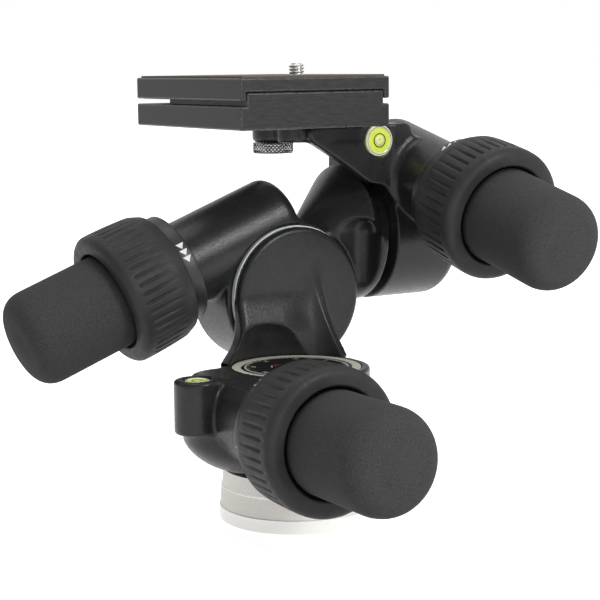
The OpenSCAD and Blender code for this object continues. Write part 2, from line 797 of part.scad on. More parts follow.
module camera_screw() {
  color([0.78, 0.78, 0.78]) translate([screw_x, screw_y, top_z + gap]) difference() {
    union() {
      cylinder(r = head_r, h = head_t - gap);
      cylinder(r = neck_r, h = pad_z + pad_t - top_z);
      translate([0, 0, pad_z + pad_t - top_z - gap]) cylinder(r = screw_r, h = screw_up);
    }
    translate([-head_r - 1, -0.7, -1]) cube([2 * head_r + 2, 1.4, 1.8]);
  }
}

// The three knob units

module pan_grip() { color([0.22, 0.22, 0.23]) at_pan() grip(pan_reach); }
module pan_hub() { color([0.62, 0.63, 0.65]) at_pan() hub(pan_reach); }
module pan_worm() { color([0.55, 0.56, 0.58]) at_pan() worm(pan_reach); }
module pan_cradle() { color([0.70, 0.58, 0.32]) at_pan() cradle(pan_reach); }
module pan_pivots() { color([0.55, 0.56, 0.58]) at_pan() pivots(pan_reach); }
module pan_collar() { color([0.19, 0.19, 0.20]) at_pan() collar(pan_reach); }
module pan_index() { color([0.10, 0.10, 0.11]) at_pan() index(pan_reach); }
module pan_clip() { color([0.45, 0.45, 0.47]) at_pan() clip(pan_reach); }
module pan_spring() { color([0.55, 0.56, 0.58]) at_pan() spring(pan_reach); }
module tilt_grip() { color([0.22, 0.22, 0.23]) at_tilt() grip(tilt_reach); }
module tilt_hub() { color([0.62, 0.63, 0.65]) at_tilt() hub(tilt_reach); }
module tilt_worm() { color([0.55, 0.56, 0.58]) at_tilt() worm(tilt_reach); }
module tilt_cradle() { color([0.70, 0.58, 0.32]) at_tilt() cradle(tilt_reach); }
module tilt_pivots() { color([0.55, 0.56, 0.58]) at_tilt() pivots(tilt_reach); }
module tilt_collar() { color([0.19, 0.19, 0.20]) at_tilt() collar(tilt_reach); }
module tilt_index() { color([0.10, 0.10, 0.11]) at_tilt() index(tilt_reach); }
module tilt_clip() { color([0.45, 0.45, 0.47]) at_tilt() clip(tilt_reach); }
module tilt_spring() { color([0.55, 0.56, 0.58]) at_tilt() spring(tilt_reach); }
module side_grip() { color([0.22, 0.22, 0.23]) at_side() grip(side_reach); }
module side_hub() { color([0.62, 0.63, 0.65]) at_side() hub(side_reach); }
module side_worm() { color([0.55, 0.56, 0.58]) at_side() worm(side_reach); }
module side_cradle() { color([0.70, 0.58, 0.32]) at_side() cradle(side_reach); }
module side_pivots() { color([0.55, 0.56, 0.58]) at_side() pivots(side_reach); }
module side_collar() { color([0.19, 0.19, 0.20]) at_side() collar(side_reach); }
module side_index() { color([0.10, 0.10, 0.11]) at_side() index(side_reach); }
module side_clip() { color([0.45, 0.45, 0.47]) at_side() clip(side_reach); }
module side_spring() { color([0.55, 0.56, 0.58]) at_side() spring(side_reach); }

base_foot();
base_collar();
tripod_bush();
base_screws();
pan_spindle();
pan_wheel();
pan_dial();
pan_housing();
column();
dial_ring();
pan_vial();
pan_bearing();
tilt_spindle();
tilt_wheel();
tilt_washer();
tilt_housing();
tilt_bearing();
tilt_cap();
side_spindle();
side_wheel();
side_washer();
side_housing();
side_bearing();
side_cap();
side_vial();
block();
block_screws();
lock_knob();
camera_plate();
plate_pad();
camera_screw();
pan_grip();
pan_hub();
pan_worm();
pan_cradle();
pan_pivots();
pan_collar();
pan_index();
pan_clip();
pan_spring();
tilt_grip();
tilt_hub();
tilt_worm();
tilt_cradle();
tilt_pivots();
tilt_collar();
tilt_index();
tilt_clip();
tilt_spring();
side_grip();
side_hub();
side_worm();
side_cradle();
side_pivots();
side_collar();
side_index();
side_clip();
side_spring();
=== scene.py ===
"""Looks of a geared tripod head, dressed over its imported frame. Sizes in millimetres, objects in metres."""

import json
import math

import bpy
import numpy as np
from mathutils import Matrix, Vector


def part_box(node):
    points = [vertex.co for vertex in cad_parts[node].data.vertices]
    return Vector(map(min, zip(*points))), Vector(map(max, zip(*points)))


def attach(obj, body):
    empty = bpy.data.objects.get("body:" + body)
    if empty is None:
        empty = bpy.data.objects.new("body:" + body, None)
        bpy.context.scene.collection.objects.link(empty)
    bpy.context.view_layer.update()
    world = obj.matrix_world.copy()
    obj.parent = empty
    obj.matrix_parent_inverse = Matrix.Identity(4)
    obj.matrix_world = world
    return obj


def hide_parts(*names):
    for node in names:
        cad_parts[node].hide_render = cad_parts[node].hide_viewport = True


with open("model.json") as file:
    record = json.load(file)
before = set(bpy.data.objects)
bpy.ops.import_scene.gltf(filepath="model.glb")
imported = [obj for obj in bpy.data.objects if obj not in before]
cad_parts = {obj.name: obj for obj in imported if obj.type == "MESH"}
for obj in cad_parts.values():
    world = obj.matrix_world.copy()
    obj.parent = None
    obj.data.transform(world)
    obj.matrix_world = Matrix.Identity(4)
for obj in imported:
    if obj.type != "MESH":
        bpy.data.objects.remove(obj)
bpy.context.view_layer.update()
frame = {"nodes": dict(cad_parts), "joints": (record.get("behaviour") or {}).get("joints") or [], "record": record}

# Units and places taken from the frame

MM = 0.001
joints = {j["name"]: j for j in frame["joints"]}
UNITS = ("pan", "tilt", "side")
AXIS_JOINT = {"pan": "pan", "tilt": "tilt", "side": "side_tilt"}
HOST = {"pan": "pan_unit", "tilt": "tilt_unit", "side": "platform"}
REACH = {"pan": 72.2, "tilt": 68.4, "side": 70.2}
UP = np.array([0.0, 0.0, 1.0])


def place(joint):
    """A joint's point in millimetres."""
    return np.array(joints[joint]["pos_m"]) / MM


def direction(joint):
    """A joint's axis as a unit vector."""
    v = np.array(joints[joint]["axis"], float)
    return v / np.linalg.norm(v)


class Unit:
    """One gear unit: wheel centre, knob direction, offset to the worm and the wheel's own axis."""

    def __init__(self, name):
        self.name = name
        self.wheel = place(AXIS_JOINT[name])
        self.worm = place(name + "_quick_set")
        self.knob = direction(name + "_quick_set")
        out = self.worm - self.wheel
        self.centre = np.linalg.norm(out)
        self.out = out / self.centre
        self.axis = np.cross(self.knob, self.out)
        self.reach = REACH[name]

    def at(self, along, out=0.0, across=0.0):
        """A point by its distance along the knob and out from the worm."""
        return self.worm + along * self.knob + out * self.out + across * self.axis


unit = {name: Unit(name) for name in UNITS}
pan_axis = np.array([0.0, 0.0, 0.0])
tilt_axis = unit["tilt"].wheel
side_axis = unit["side"].wheel
X = np.array([1.0, 0.0, 0.0])
Y = np.array([0.0, 1.0, 0.0])


def cad(node):
    """Lowest and highest corner of a node in millimetres."""
    lo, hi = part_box(node)
    return np.array(lo) / MM, np.array(hi) / MM


# Sizes shared with the castings of the frame

ARM_R = 17.0
ARM_SHIFT = 0.5
ARM_BACK = 14.5
ARM_ROUND = 6.0
NOSE_R = 14.4
NOSE_BACK = 31.6
NOSE_END = 10.2
BORE_R = 11.7
BORE_BACK = 12.2
ROOM_R = 23.6
ROOM_HALF = 6.2
BUSH_R = 13.2
SPINDLE_ROOM = 9.1
PAN_R = 27.9
PAN_TOP = cad("dial_ring")[1][2]
PAN_LOW = cad("pan_housing")[0][2]
DRUM_R = 29.3
SIDE_R = 28.3
DISC_R = 27.3
DISC_T = 4.8
DISC_Y = cad("column")[1][1] - DISC_T


# Mesh helpers


def add_mesh(name, points, faces, material, smooth=True):
    """A mesh object from points in millimetres."""
    mesh = bpy.data.meshes.new(name)
    mesh.from_pydata((np.asarray(points) * MM).tolist(), [], [list(map(int, f)) for f in faces])
    mesh.update()
    if smooth:
        mesh.polygons.foreach_set("use_smooth", [True] * len(mesh.polygons))
    mesh.materials.append(material)
    obj = bpy.data.objects.new(name, mesh)
    bpy.context.scene.collection.objects.link(obj)
    return obj


def dress(obj, body, stands_for=()):
    """Puts a piece on its body and says what it stands for."""
    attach(obj, body)
    if stands_for:
        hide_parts(*stands_for)
    return obj


def basis(axis):
    """Two unit vectors square to an axis."""
    side = np.cross(UP, axis)
    if np.linalg.norm(side) < 1e-6:
        side = X
    side = side / np.linalg.norm(side)
    return side, np.cross(axis, side)


def lathe_points(profile, origin, axis, start, steps):
    """Rings of points of a profile of (radius, distance) pairs turned about an axis."""
    across, rise = start
    turn = np.linspace(0, 2 * math.pi, steps, endpoint=False)
    spokes = np.outer(np.cos(turn), across) + np.outer(np.sin(turn), rise)
    rings = [origin + t * axis + r * spokes for r, t in profile]
    return np.concatenate(rings)


def ring_faces(rows, steps, closed=False):
    """Faces between rows of points, each a ring of that many steps."""
    faces = []
    for i in range(rows if closed else rows - 1):
        a, b = i * steps, (i + 1) % rows * steps
        faces += [(a + j, a + (j + 1) % steps, b + (j + 1) % steps, b + j) for j in range(steps)]
    return faces


def lathe(name, profile, origin, axis, material, steps=160, closed=False):
    """A turned piece. An open profile is capped at both ends, where it reaches the axis."""
    points = lathe_points(profile, np.asarray(origin, float), axis, basis(axis), steps)
    rows = len(profile)
    faces = ring_faces(rows, steps, closed)
    if not closed:
        faces.append(tuple(reversed(range(steps))))
        faces.append(tuple(range((rows - 1) * steps, rows * steps)))
    return add_mesh(name, points, faces, material)


def arc(cx, cy, r, a0, a1, steps=8):
    """Points of an arc in degrees, as (radius, distance) pairs."""
    return [(cx + r * math.cos(math.radians(a)), cy + r * math.sin(math.radians(a)))
            for a in np.linspace(a0, a1, steps)]


# Solid fields: negative inside, in millimetres


def rod(p, origin, axis, r, t0, t1, edge=1.0):
    """A round rod with rounded edges."""
    v = p - origin
    t = v @ axis
    radial = np.linalg.norm(v - np.outer(t, axis), axis=1)
    a = radial - r + edge
    b = np.abs(t - (t0 + t1) / 2) - (t1 - t0) / 2 + edge
    outside = np.hypot(np.maximum(a, 0), np.maximum(b, 0))
    return np.minimum(np.maximum(a, b), 0) + outside - edge


def turned(p, origin, axis, radius, t0, t1, edge=1.0):
    """A turned form whose radius is a function of the distance along its axis."""
    v = p - origin
    t = v @ axis
    radial = np.linalg.norm(v - np.outer(t, axis), axis=1)
    return both(radial - radius(t), np.abs(t - (t0 + t1) / 2) - (t1 - t0) / 2, edge)


def slab(p, lo, hi, edge=1.0):
    """A box with rounded edges."""
    lo, hi = np.asarray(lo, float), np.asarray(hi, float)
    q = np.abs(p - (lo + hi) / 2) - (hi - lo) / 2 + edge
    return np.minimum(q.max(axis=1), 0) + np.linalg.norm(np.maximum(q, 0), axis=1) - edge


def join(a, b, k):
    """Union of two fields with a fillet of about k."""
    h = np.clip(0.5 + 0.5 * (b - a) / k, 0, 1)
    return b + (a - b) * h - k * h * (1 - h)


def both(a, b, k):
    """Intersection of two fields with an edge rounded by about k."""
    return -join(-a, -b, k)


def cut(a, b, k=0.6):
    """One field less another."""
    return both(a, -b, k)


def soften(corners, r, steps=4):
    """An outline with its corners rounded by about r."""
    corners = np.asarray(corners, float)
    out = []
    for before, here, after in zip(np.roll(corners, 1, axis=0), corners, np.roll(corners, -1, axis=0)):
        a = (before - here) * min(r / np.linalg.norm(before - here), 0.5)
        b = (after - here) * min(r / np.linalg.norm(after - here), 0.5)
        out += [here + (1 - s) ** 2 * a + s ** 2 * b for s in np.linspace(0, 1, steps)]
    return np.array(out)


def outline(u, v, corners):
    """Distance to a closed outline in a plane."""
    gap = np.full(len(u), np.inf)
    inside = np.zeros(len(u), bool)
    for (ua, va), (ub, vb) in zip(corners, np.roll(corners, -1, axis=0)):
        du, dv = ub - ua, vb - va
        t = np.clip(((u - ua) * du + (v - va) * dv) / max(du * du + dv * dv, 1e-9), 0, 1)
        gap = np.minimum(gap, np.hypot(u - ua - t * du, v - va - t * dv))
        if va != vb:
            inside ^= ((va > v) != (vb > v)) & (u < ua + (v - va) / (vb - va) * du)
    return np.where(inside, -gap, gap)


def prism(p, flat, corners, t0, t1, edge=1.0):
    """An outline in two of the axes, carried along the third one."""
    along = 3 - sum(flat)
    t = p[:, along]
    across = outline(p[:, flat[0]], p[:, flat[1]], corners)
    return both(across, np.abs(t - (t0 + t1) / 2) - (t1 - t0) / 2, edge)


CORNERS = np.array([(i, j, k) for i in (0, 1) for j in (0, 1) for k in (0, 1)])
EDGES = [(a, b) for a in range(8) for b in range(a + 1, 8) if np.abs(CORNERS[a] - CORNERS[b]).sum() == 1]


def field_slope(field, p, h=0.04):
    """Slope of a field at some points."""
    steps = np.eye(3) * h
    return np.stack([(field(p + s) - field(p - s)) / (2 * h) for s in steps], axis=1)


def skin(name, field, lo, hi, cell, material):
    """The surface of a field as a mesh: one point in each cell that it crosses, drawn onto it."""
    lo = np.asarray(lo, float)
    count = np.ceil((np.asarray(hi) - lo) / cell).astype(int) + 1
    lines = [lo[i] + cell * np.arange(count[i]) for i in range(3)]
    value = np.empty(count)
    flat = np.stack(np.meshgrid(lines[1], lines[2], indexing="ij"), axis=-1).reshape(-1, 2)
    for i, x in enumerate(lines[0]):
        layer = np.column_stack([np.full(len(flat), x), flat])
        value[i] = field(layer).reshape(count[1], count[2])
    inside = value < 0
    full = sum(inside[tuple(slice(c[i], count[i] - 1 + c[i]) for i in range(3))].astype(int) for c in CORNERS)
    cells = np.argwhere((full > 0) & (full < 8))
    total, hits = np.zeros((len(cells), 3)), np.zeros(len(cells))
    for a, b in EDGES:
        va = value[tuple((cells + CORNERS[a]).T)]
        vb = value[tuple((cells + CORNERS[b]).T)]
        crossed = (va < 0) != (vb < 0)
        t = np.where(crossed, va / np.where(crossed, va - vb, 1), 0)
        spot = CORNERS[a] + t[:, None] * (CORNERS[b] - CORNERS[a])
        total += spot * crossed[:, None]
        hits += crossed
    points = lo + cell * (cells + total / hits[:, None])
    for _ in range(3):
        slope = field_slope(field, points)
        step = field(points) / np.maximum((slope ** 2).sum(axis=1), 0.05)
        points = points - np.clip(step, -cell, cell)[:, None] * slope
    number = np.full(count - 1, -1)
    number[tuple(cells.T)] = np.arange(len(cells))
    return add_mesh(name, points, net_faces(inside, number, count), material)


def net_faces(inside, number, count):
    """Four-sided faces, one round each grid line that crosses the surface."""
    faces = []
    for axis in range(3):
        u, v = (axis + 1) % 3, (axis + 2) % 3
        low = [slice(1, count[i] - 1) for i in range(3)]
        low[axis] = slice(0, count[axis] - 1)
        high = list(low)
        high[axis] = slice(1, count[axis])
        for first, second in ((low, high), (high, low)):
            start = np.argwhere(inside[tuple(first)] & ~inside[tuple(second)])
            start = start + [s.start for s in low]
            corner = []
            for du, dv in ((1, 1), (0, 1), (0, 0), (1, 0)):
                c = start.copy()
                c[:, u] -= du
                c[:, v] -= dv
                corner.append(number[tuple(c.T)])
            quads = np.stack(corner, axis=1)
            faces.append(quads if first is low else quads[:, ::-1])
    return np.concatenate(faces)


# Materials


def new_material(name, colour, rough, metal=0.0, **sockets):
    """A material with its shader, ready for more nodes."""
    m = bpy.data.materials.new(name)
    m.use_nodes = True
    shader = m.node_tree.nodes["Principled BSDF"]
    shader.inputs["Base Color"].default_value = (*colour, 1)
    shader.inputs["Roughness"].default_value = rough
    shader.inputs["Metallic"].default_value = metal
    for key, value in sockets.items():
        shader.inputs[key.replace("_", " ")].default_value = value
    return m


def noise(m, scale, detail=2.0, stretch=None, rough=0.5):
    """A noise texture in the object's own coordinates, with a size in millimetres."""
    nodes, links = m.node_tree.nodes, m.node_tree.links
    coord = nodes.new("ShaderNodeTexCoord")
    tex = nodes.new("ShaderNodeTexNoise")
    tex.inputs["Scale"].default_value = 1 / (scale * MM)
    tex.inputs["Detail"].default_value = detail
    tex.inputs["Roughness"].default_value = rough
    source = coord.outputs["Object"]
    if stretch:
        mapping = nodes.new("ShaderNodeMapping")
        mapping.inputs["Scale"].default_value = stretch
        links.new(source, mapping.inputs["Vector"])
        source = mapping.outputs["Vector"]
    links.new(source, tex.inputs["Vector"])
    return tex.outputs["Fac"]


def spread(m, value, low, high, out0, out1):
    """Maps part of a value's range to another."""
    node = m.node_tree.nodes.new("ShaderNodeMapRange")
    for key, v in (("From Min", low), ("From Max", high), ("To Min", out0), ("To Max", out1)):
        node.inputs[key].default_value = v
    m.node_tree.links.new(value, node.inputs["Value"])
    return node.outputs["Result"]


def tint(m, value, dark, light):
    """Colour that runs from dark to light with a value."""
    ramp = m.node_tree.nodes.new("ShaderNodeMix")
    ramp.data_type = "RGBA"
    ramp.inputs[6].default_value = (*dark, 1)
    ramp.inputs[7].default_value = (*light, 1)
    m.node_tree.links.new(value, ramp.inputs["Factor"])
    m.node_tree.links.new(ramp.outputs[2], m.node_tree.nodes["Principled BSDF"].inputs["Base Color"])


def shine(m, value):
    """Roughness from a value."""
    m.node_tree.links.new(value, m.node_tree.nodes["Principled BSDF"].inputs["Roughness"])


def grain(m, value, strength, depth):
    """Bump from a value, with a depth in millimetres."""
    node = m.node_tree.nodes.new("ShaderNodeBump")
    node.inputs["Strength"].default_value = strength
    node.inputs["Distance"].default_value = depth * MM
    m.node_tree.links.new(value, node.inputs["Height"])
    m.node_tree.links.new(node.outputs["Normal"], m.node_tree.nodes["Principled BSDF"].inputs["Normal"])


def make_paint():
    """Black powder paint with a fine grain that breaks up its shine."""
    m = new_material("black_paint", (0.020, 0.020, 0.021), 0.32, Specular_IOR_Level=0.32)
    tint(m, spread(m, noise(m, 6.0), 0.35, 0.65, 0, 1), (0.0185, 0.0185, 0.0195), (0.0235, 0.0235, 0.0245))
    shine(m, spread(m, noise(m, 1.1), 0.3, 0.7, 0.26, 0.38))
    grain(m, noise(m, 0.5, 3), 0.45, 0.14)
    return m


def make_foam():
    """Charcoal foam rubber with fine pores."""
    m = new_material("foam_grip", (0.06, 0.0585, 0.059), 0.9, Specular_IOR_Level=0.2)
    pores = noise(m, 0.42, 4, rough=0.7)
    tint(m, spread(m, pores, 0.3, 0.7, 0, 1), (0.032, 0.031, 0.0315), (0.078, 0.076, 0.077))
    grain(m, pores, 0.5, 0.14)
    return m


def make_rubber():
    """Dark moulded rubber."""
    m = new_material("collar_rubber", (0.030, 0.030, 0.032), 0.55, Specular_IOR_Level=0.25)
    tint(m, spread(m, noise(m, 9.0), 0.35, 0.65, 0, 1), (0.027, 0.0272, 0.029), (0.034, 0.0343, 0.0362))
    shine(m, spread(m, noise(m, 3.0, 3), 0.3, 0.7, 0.48, 0.62))
    grain(m, noise(m, 0.3, 2), 0.12, 0.05)
    return m


RING_TOP = 5.3
SEAM_Z = 13.2
SEAM_HALF = 0.3


def make_blasted():
    """Blasted aluminium of the foot, with a bright machined ring below and a bright line at its seam."""
    m = new_material("blasted_aluminium", (0.55, 0.53, 0.50), 0.55, 0.35)
    nodes, links = m.node_tree.nodes, m.node_tree.links
    speck = noise(m, 0.5, 3, rough=0.6)
    tint(m, spread(m, speck, 0.3, 0.7, 0, 1), (0.74, 0.715, 0.67), (0.88, 0.85, 0.80))
    grain(m, speck, 0.12, 0.08)
    coord = nodes.new("ShaderNodeTexCoord")
    split = nodes.new("ShaderNodeSeparateXYZ")
    links.new(coord.outputs["Object"], split.inputs[0])
    ring = spread(m, split.outputs["Z"], (RING_TOP + 0.05) * MM, (RING_TOP - 0.05) * MM, 0, 1)
    above = spread(m, split.outputs["Z"], (SEAM_Z - SEAM_HALF) * MM, (SEAM_Z - SEAM_HALF + 0.1) * MM, 0, 1)
    below = spread(m, split.outputs["Z"], (SEAM_Z + SEAM_HALF) * MM, (SEAM_Z + SEAM_HALF - 0.1) * MM, 0, 1)
    seam = nodes.new("ShaderNodeMath")
    seam.operation = "MULTIPLY"
    links.new(above, seam.inputs[0])
    links.new(below, seam.inputs[1])
    smooth = nodes.new("ShaderNodeMath")
    smooth.operation = "MAXIMUM"
    links.new(ring, smooth.inputs[0])
    links.new(seam.outputs[0], smooth.inputs[1])
    shader = nodes["Principled BSDF"]
    rough_look = shader.inputs["Base Color"].links[0].from_socket
    mix = nodes.new("ShaderNodeMix")
    mix.data_type = "RGBA"
    links.new(smooth.outputs[0], mix.inputs["Factor"])
    links.new(rough_look, mix.inputs[6])
    mix.inputs[7].default_value = (0.77, 0.76, 0.737, 1)
    links.new(mix.outputs[2], shader.inputs["Base Color"])
    links.new(spread(m, smooth.outputs[0], 0, 1, 0.55, 0.24), shader.inputs["Roughness"])
    links.new(spread(m, smooth.outputs[0], 0, 1, 0.55, 0.9), shader.inputs["Metallic"])
    return m


def make_turned(name, colour, rough, metal=1.0):
    """Turned metal with fine tool lines round the upright axis."""
    m = new_material(name, colour, rough, metal)
    lines = noise(m, 1.0, 2, stretch=(0.02, 0.02, 6.0))
    shine(m, spread(m, lines, 0.3, 0.7, rough * 0.8, rough * 1.25))
    tint(m, lines, tuple(0.88 * c for c in colour), colour)
    grain(m, lines, 0.08, 0.03)
    return m


def make_brushed(name, dark, light, stretch, rough):
    """Dark anodised aluminium with a directional grain."""
    m = new_material(name, dark, rough, Specular_IOR_Level=0.28)
    lines = noise(m, 0.8, 4, stretch=stretch, rough=0.65)
    tint(m, spread(m, lines, 0.3, 0.7, 0, 1), dark, light)
    shine(m, spread(m, lines, 0.3, 0.7, rough * 0.85, rough * 1.15))
    grain(m, lines, 0.3, 0.1)
    return m


def make_plain(name, colour, rough, metal=0.0, grain_size=0.6, **sockets):
    """A painted or moulded surface with slight unevenness."""
    m = new_material(name, colour, rough, metal, **sockets)
    value = noise(m, grain_size, 2)
    tint(m, value, tuple(0.9 * c for c in colour), tuple(min(1.0, 1.08 * c) for c in colour))
    grain(m, value, 0.06, 0.03)
    return m


paint = make_paint()
foam = make_foam()
rubber = make_rubber()
blasted = make_blasted()
bright = make_turned("turned_aluminium", (0.80, 0.80, 0.78), 0.28)
brass = make_turned("brass", (0.70, 0.50, 0.20), 0.3)
steel = make_turned("steel", (0.56, 0.57, 0.58), 0.32)
plated = make_plain("plated_steel", (0.78, 0.78, 0.77), 0.22, 1.0)
anodised = make_brushed("anodised_long", (0.015, 0.015, 0.0157), (0.038, 0.038, 0.0393),
                        (0.15, 0.15, 1.0), 0.5)
# Lighter bevels of block and plate: partly edge wear, partly a painted highlight along the edges.
edge_wear_highlight = make_brushed("edge_wear_and_highlight", (0.02, 0.02, 0.02), (0.10, 0.10, 0.10), (0.5, 0.5, 0.5), 0.3)
dial_black = make_plain("dial_black", (0.010, 0.010, 0.011), 0.42)
cream = make_plain("dial_cream", (0.66, 0.64, 0.53), 0.5)
white_ink = make_plain("white_ink", (0.82, 0.82, 0.80), 0.5)
red_ink = make_plain("red_ink", (0.55, 0.03, 0.02), 0.5)
# Near black for the bottoms of the knurl: painted shade in its grooves.
knurl_painted_shade = make_plain("knurl_painted_shade", (0.03, 0.03, 0.03), 0.5)
black_ink = make_plain("black_ink", (0.02, 0.025, 0.01), 0.5)
pale_ring = make_plain("pale_ring", (0.82, 0.86, 0.88), 0.35)
satin_black = make_plain("satin_black", (0.020, 0.020, 0.022), 0.42)
pad_brown = make_plain("pad_brown", (0.13, 0.10, 0.075), 0.75, grain_size=0.9)
vial_body = make_plain("vial_body", (0.80, 0.95, 0.10), 0.12, grain_size=3.0)
bubble = make_plain("vial_bubble", (0.86, 0.98, 0.34), 0.08, grain_size=3.0)
vial_rim = make_plain("vial_rim", (0.80, 0.84, 0.52), 0.12, grain_size=2.0)
vial_dark = make_plain("vial_dark", (0.10, 0.12, 0.05), 0.2, grain_size=2.0)
SLOT_LOOK = {"silver_cast": blasted, "silver_bright": bright, "casting": paint, "anodised": anodised,
             "brass": brass, "steel": steel, "dial_black": dial_black, "dial_cream": cream,
             "bright_ring": pale_ring, "vial": vial_body, "grip": foam, "collar": rubber,
             "index": satin_black, "pad": pad_brown}

for part in frame["record"]["subparts"]:
    node = frame["nodes"][part["node"]]
    node.data.materials.clear()
    node.data.materials.append(SLOT_LOOK[part["material_slot"]])


# Castings


def arm(p, u):
    """Gear arm of a unit with its rounded back, and the nose under its collar."""
    centre = u.at(0, -ARM_SHIFT)
    end = u.reach - NOSE_BACK
    barrel = rod(p, centre, u.knob, ARM_R, -ARM_BACK, end + 4, 4.0)
    barrel = both(barrel, rod(p, centre, u.knob, ARM_R, -ARM_BACK, end + 30, ARM_ROUND), 0.3)
    barrel = both(barrel, (p - centre) @ u.knob - end, 0.5)
    nose = rod(p, u.worm, u.knob, NOSE_R, end - 4, u.reach - NOSE_END, 0.6)
    return barrel, nose


def hollow(p, body, u, room):
    """Takes the wheel room, given as distances along the wheel's axis, and the worm bore out of a casting."""
    body = cut(body, rod(p, u.wheel, u.axis, ROOM_R, room[0], room[1], 0.4))
    return cut(body, rod(p, u.worm, u.knob, BORE_R, -BORE_BACK, u.reach + 20, 0.4))


CUP = np.array([-21.5, -2.0, 0.0])
CUP_R = 25.2
CUP_TOP = PAN_LOW + 13.8
BOSS = np.array([-46.8, -8.3, 0.0])
BOSS_R = 8.5
BOSS_Z = 39.2
BOSS_TOP = PAN_TOP + 1.4
BOSS_WELL = 5.2
BEZEL_R = 24.5


def cup_radius(z):
    """Bowl under the pan arm: upright at its rim and round below."""
    s = np.clip((CUP_TOP - z) / (CUP_TOP - PAN_LOW), 0, 1)
    return CUP_R * np.sqrt(np.maximum(1 - s ** 1.5, 0.0)) + 0.01


def pan_field(p):
    """Pan housing: drum, arm, bowl and the boss of its level."""
    u = unit["pan"]
    z = p[:, 2]
    drum = rod(p, pan_axis, UP, PAN_R, PAN_LOW, PAN_TOP, 0.9)
    barrel, nose = arm(p, u)
    barrel = both(barrel, z - PAN_TOP, 1.2)
    body = join(drum, barrel, 2.0)
    bowl = turned(p, CUP, UP, cup_radius, PAN_LOW + 0.3, BOSS_Z + 1, 0.8)
    shoulder = rod(p, CUP, UP, CUP_R - 2.6, BOSS_Z, PAN_TOP - 2.0, 6.0)
    body = join(join(body, shoulder, 3.0), bowl, 1.0)
    boss = rod(p, BOSS, UP, BOSS_R, BOSS_Z, BOSS_TOP, 1.3)
    web = slab(p, BOSS + [0, -3.5, BOSS_Z + 1.5], BOSS + [16, 4.5, BOSS_TOP - 1.6], 1.2)
    body = join(body, join(boss, web, 4.0), 2.0)
    body = join(body, nose, 0.4)
    body = hollow(p, body, u, (-ROOM_HALF, ROOM_HALF))
    body = cut(body, rod(p, pan_axis, UP, BUSH_R, PAN_LOW - 5, u.wheel[2], 0.3))
    body = cut(body, rod(p, pan_axis, UP, BEZEL_R + 0.05, PAN_TOP - 2.3, PAN_TOP + 5, 0.2), 0.4)
    return cut(body, rod(p, BOSS, UP, BOSS_WELL, BOSS_TOP - 5, BOSS_TOP + 5, 0.2), 0.5)


FIN_TOP = 97.0
FIN_BASE_X = 26.8
FIN_TOP_X = 21.3
FIN_DEPTH = 13.0
FIN_FLAT = 2.6
FIN_LEFT = (1.4, 3.0)
FIN_RIGHT = 0.9
CREST_SOFT = 0.4
FLARE_TOP = 84.0
FLARE_LOW = 66.0
FLARE_DEPTH = 4.0
FLARE_FADE = (30.0, 6.0)
LEG_TOP = 70.0
LEG_DEPTH = 8.0
LEG_X = -9.0
LEG_SOFT = 5.0
LEG_SPREAD = (1.6, 12.0)
FOOT_IN = 5.0
FOOT_OVER = 1.4
COLUMN_BACK = DISC_Y + DISC_T
SCOOP_R = 25.3
SCOOP_LEAN = 0.3
SCOOP_SKEW = 0.15
SCOOP_CURL = 9.4
SCOOP_BEND = 0.06


def ease(value, start, end):
    """A soft step from nought to one."""
    s = np.clip((value - start) / (end - start), 0, 1)
    return s * s * (3 - 2 * s)


def fin_line(z):
    """How far down the fin a height is, and where its crest runs."""
    fall = np.clip((FIN_TOP - z) / (FIN_TOP - PAN_TOP), 0, 1.05)
    return fall, FIN_TOP_X + (FIN_BASE_X - FIN_TOP_X) * fall ** 1.4


def column_front(x, z):
    """Front face of the column as a depth: a sheet that swells, a leg at its left and a fin at its right."""
    swell = FLARE_DEPTH * ease(z, FLARE_TOP, FLARE_LOW) * ease(x, *FLARE_FADE)
    leg_fall = np.clip((LEG_TOP - z) / (LEG_TOP - PAN_TOP), 0, 1.1)
    leg = LEG_DEPTH * leg_fall ** 1.5 * ease(x, LEG_X + LEG_SOFT, LEG_X - LEG_SOFT)
    fall, crest = fin_line(z)
    left = np.hypot(np.maximum(crest - x, 0), CREST_SOFT) - CREST_SOFT
    right = np.maximum(x - crest - FIN_FLAT, 0)
    fin = FIN_DEPTH * fall ** 2.4 * np.exp(-left / (FIN_LEFT[0] + FIN_LEFT[1] * fall) - right / FIN_RIGHT)
    return DISC_Y - swell - leg - fin


def column_field(p):
    """Column: the disc on its pillar, with a scoop behind the dial."""
    x, y, z = p.T
    low = np.clip((tilt_axis[2] - z) / (tilt_axis[2] - PAN_TOP), 0, 1.1)
    left = tilt_axis[0] - DISC_R - 0.1 - LEG_SPREAD[0] * low - LEG_SPREAD[1] * low ** 6
    crest = fin_line(z)[1]
    up = z - PAN_TOP
    pillar = both(both(left - x, x - crest - FIN_FLAT - 0.6, 1.0), z - tilt_axis[2], 1.0)
    pillar = both(pillar, np.hypot(x, y) - PAN_R - FOOT_OVER, 1.0)
    disc = np.hypot(x - tilt_axis[0], z - tilt_axis[2]) - DISC_R
    rim = join(disc, pillar, 1.5)
    h = 0.05
    slope_x = (column_front(x + h, z) - column_front(x - h, z)) / (2 * h)
    slope_z = (column_front(x, z + h) - column_front(x, z - h)) / (2 * h)
    face = (column_front(x, z) - y) / np.sqrt(1 + slope_x ** 2 + slope_z ** 2)
    body = both(both(rim, face, 2.4), y - COLUMN_BACK, 0.6)
    scoop = np.hypot(x + SCOOP_SKEW * up, y) - SCOOP_R + SCOOP_LEAN * up
    scoop = scoop + SCOOP_BEND * np.maximum(up - SCOOP_CURL, 0) ** 2
    body = both(body, -scoop / math.hypot(1, SCOOP_LEAN), 0.7)
    body = both(body, PAN_TOP - FOOT_IN - z, 0.3)
    return cut(body, rod(p, tilt_axis * [1, 0, 1], Y, SPINDLE_ROOM, DISC_Y + 2, COLUMN_BACK + 5, 0.2))


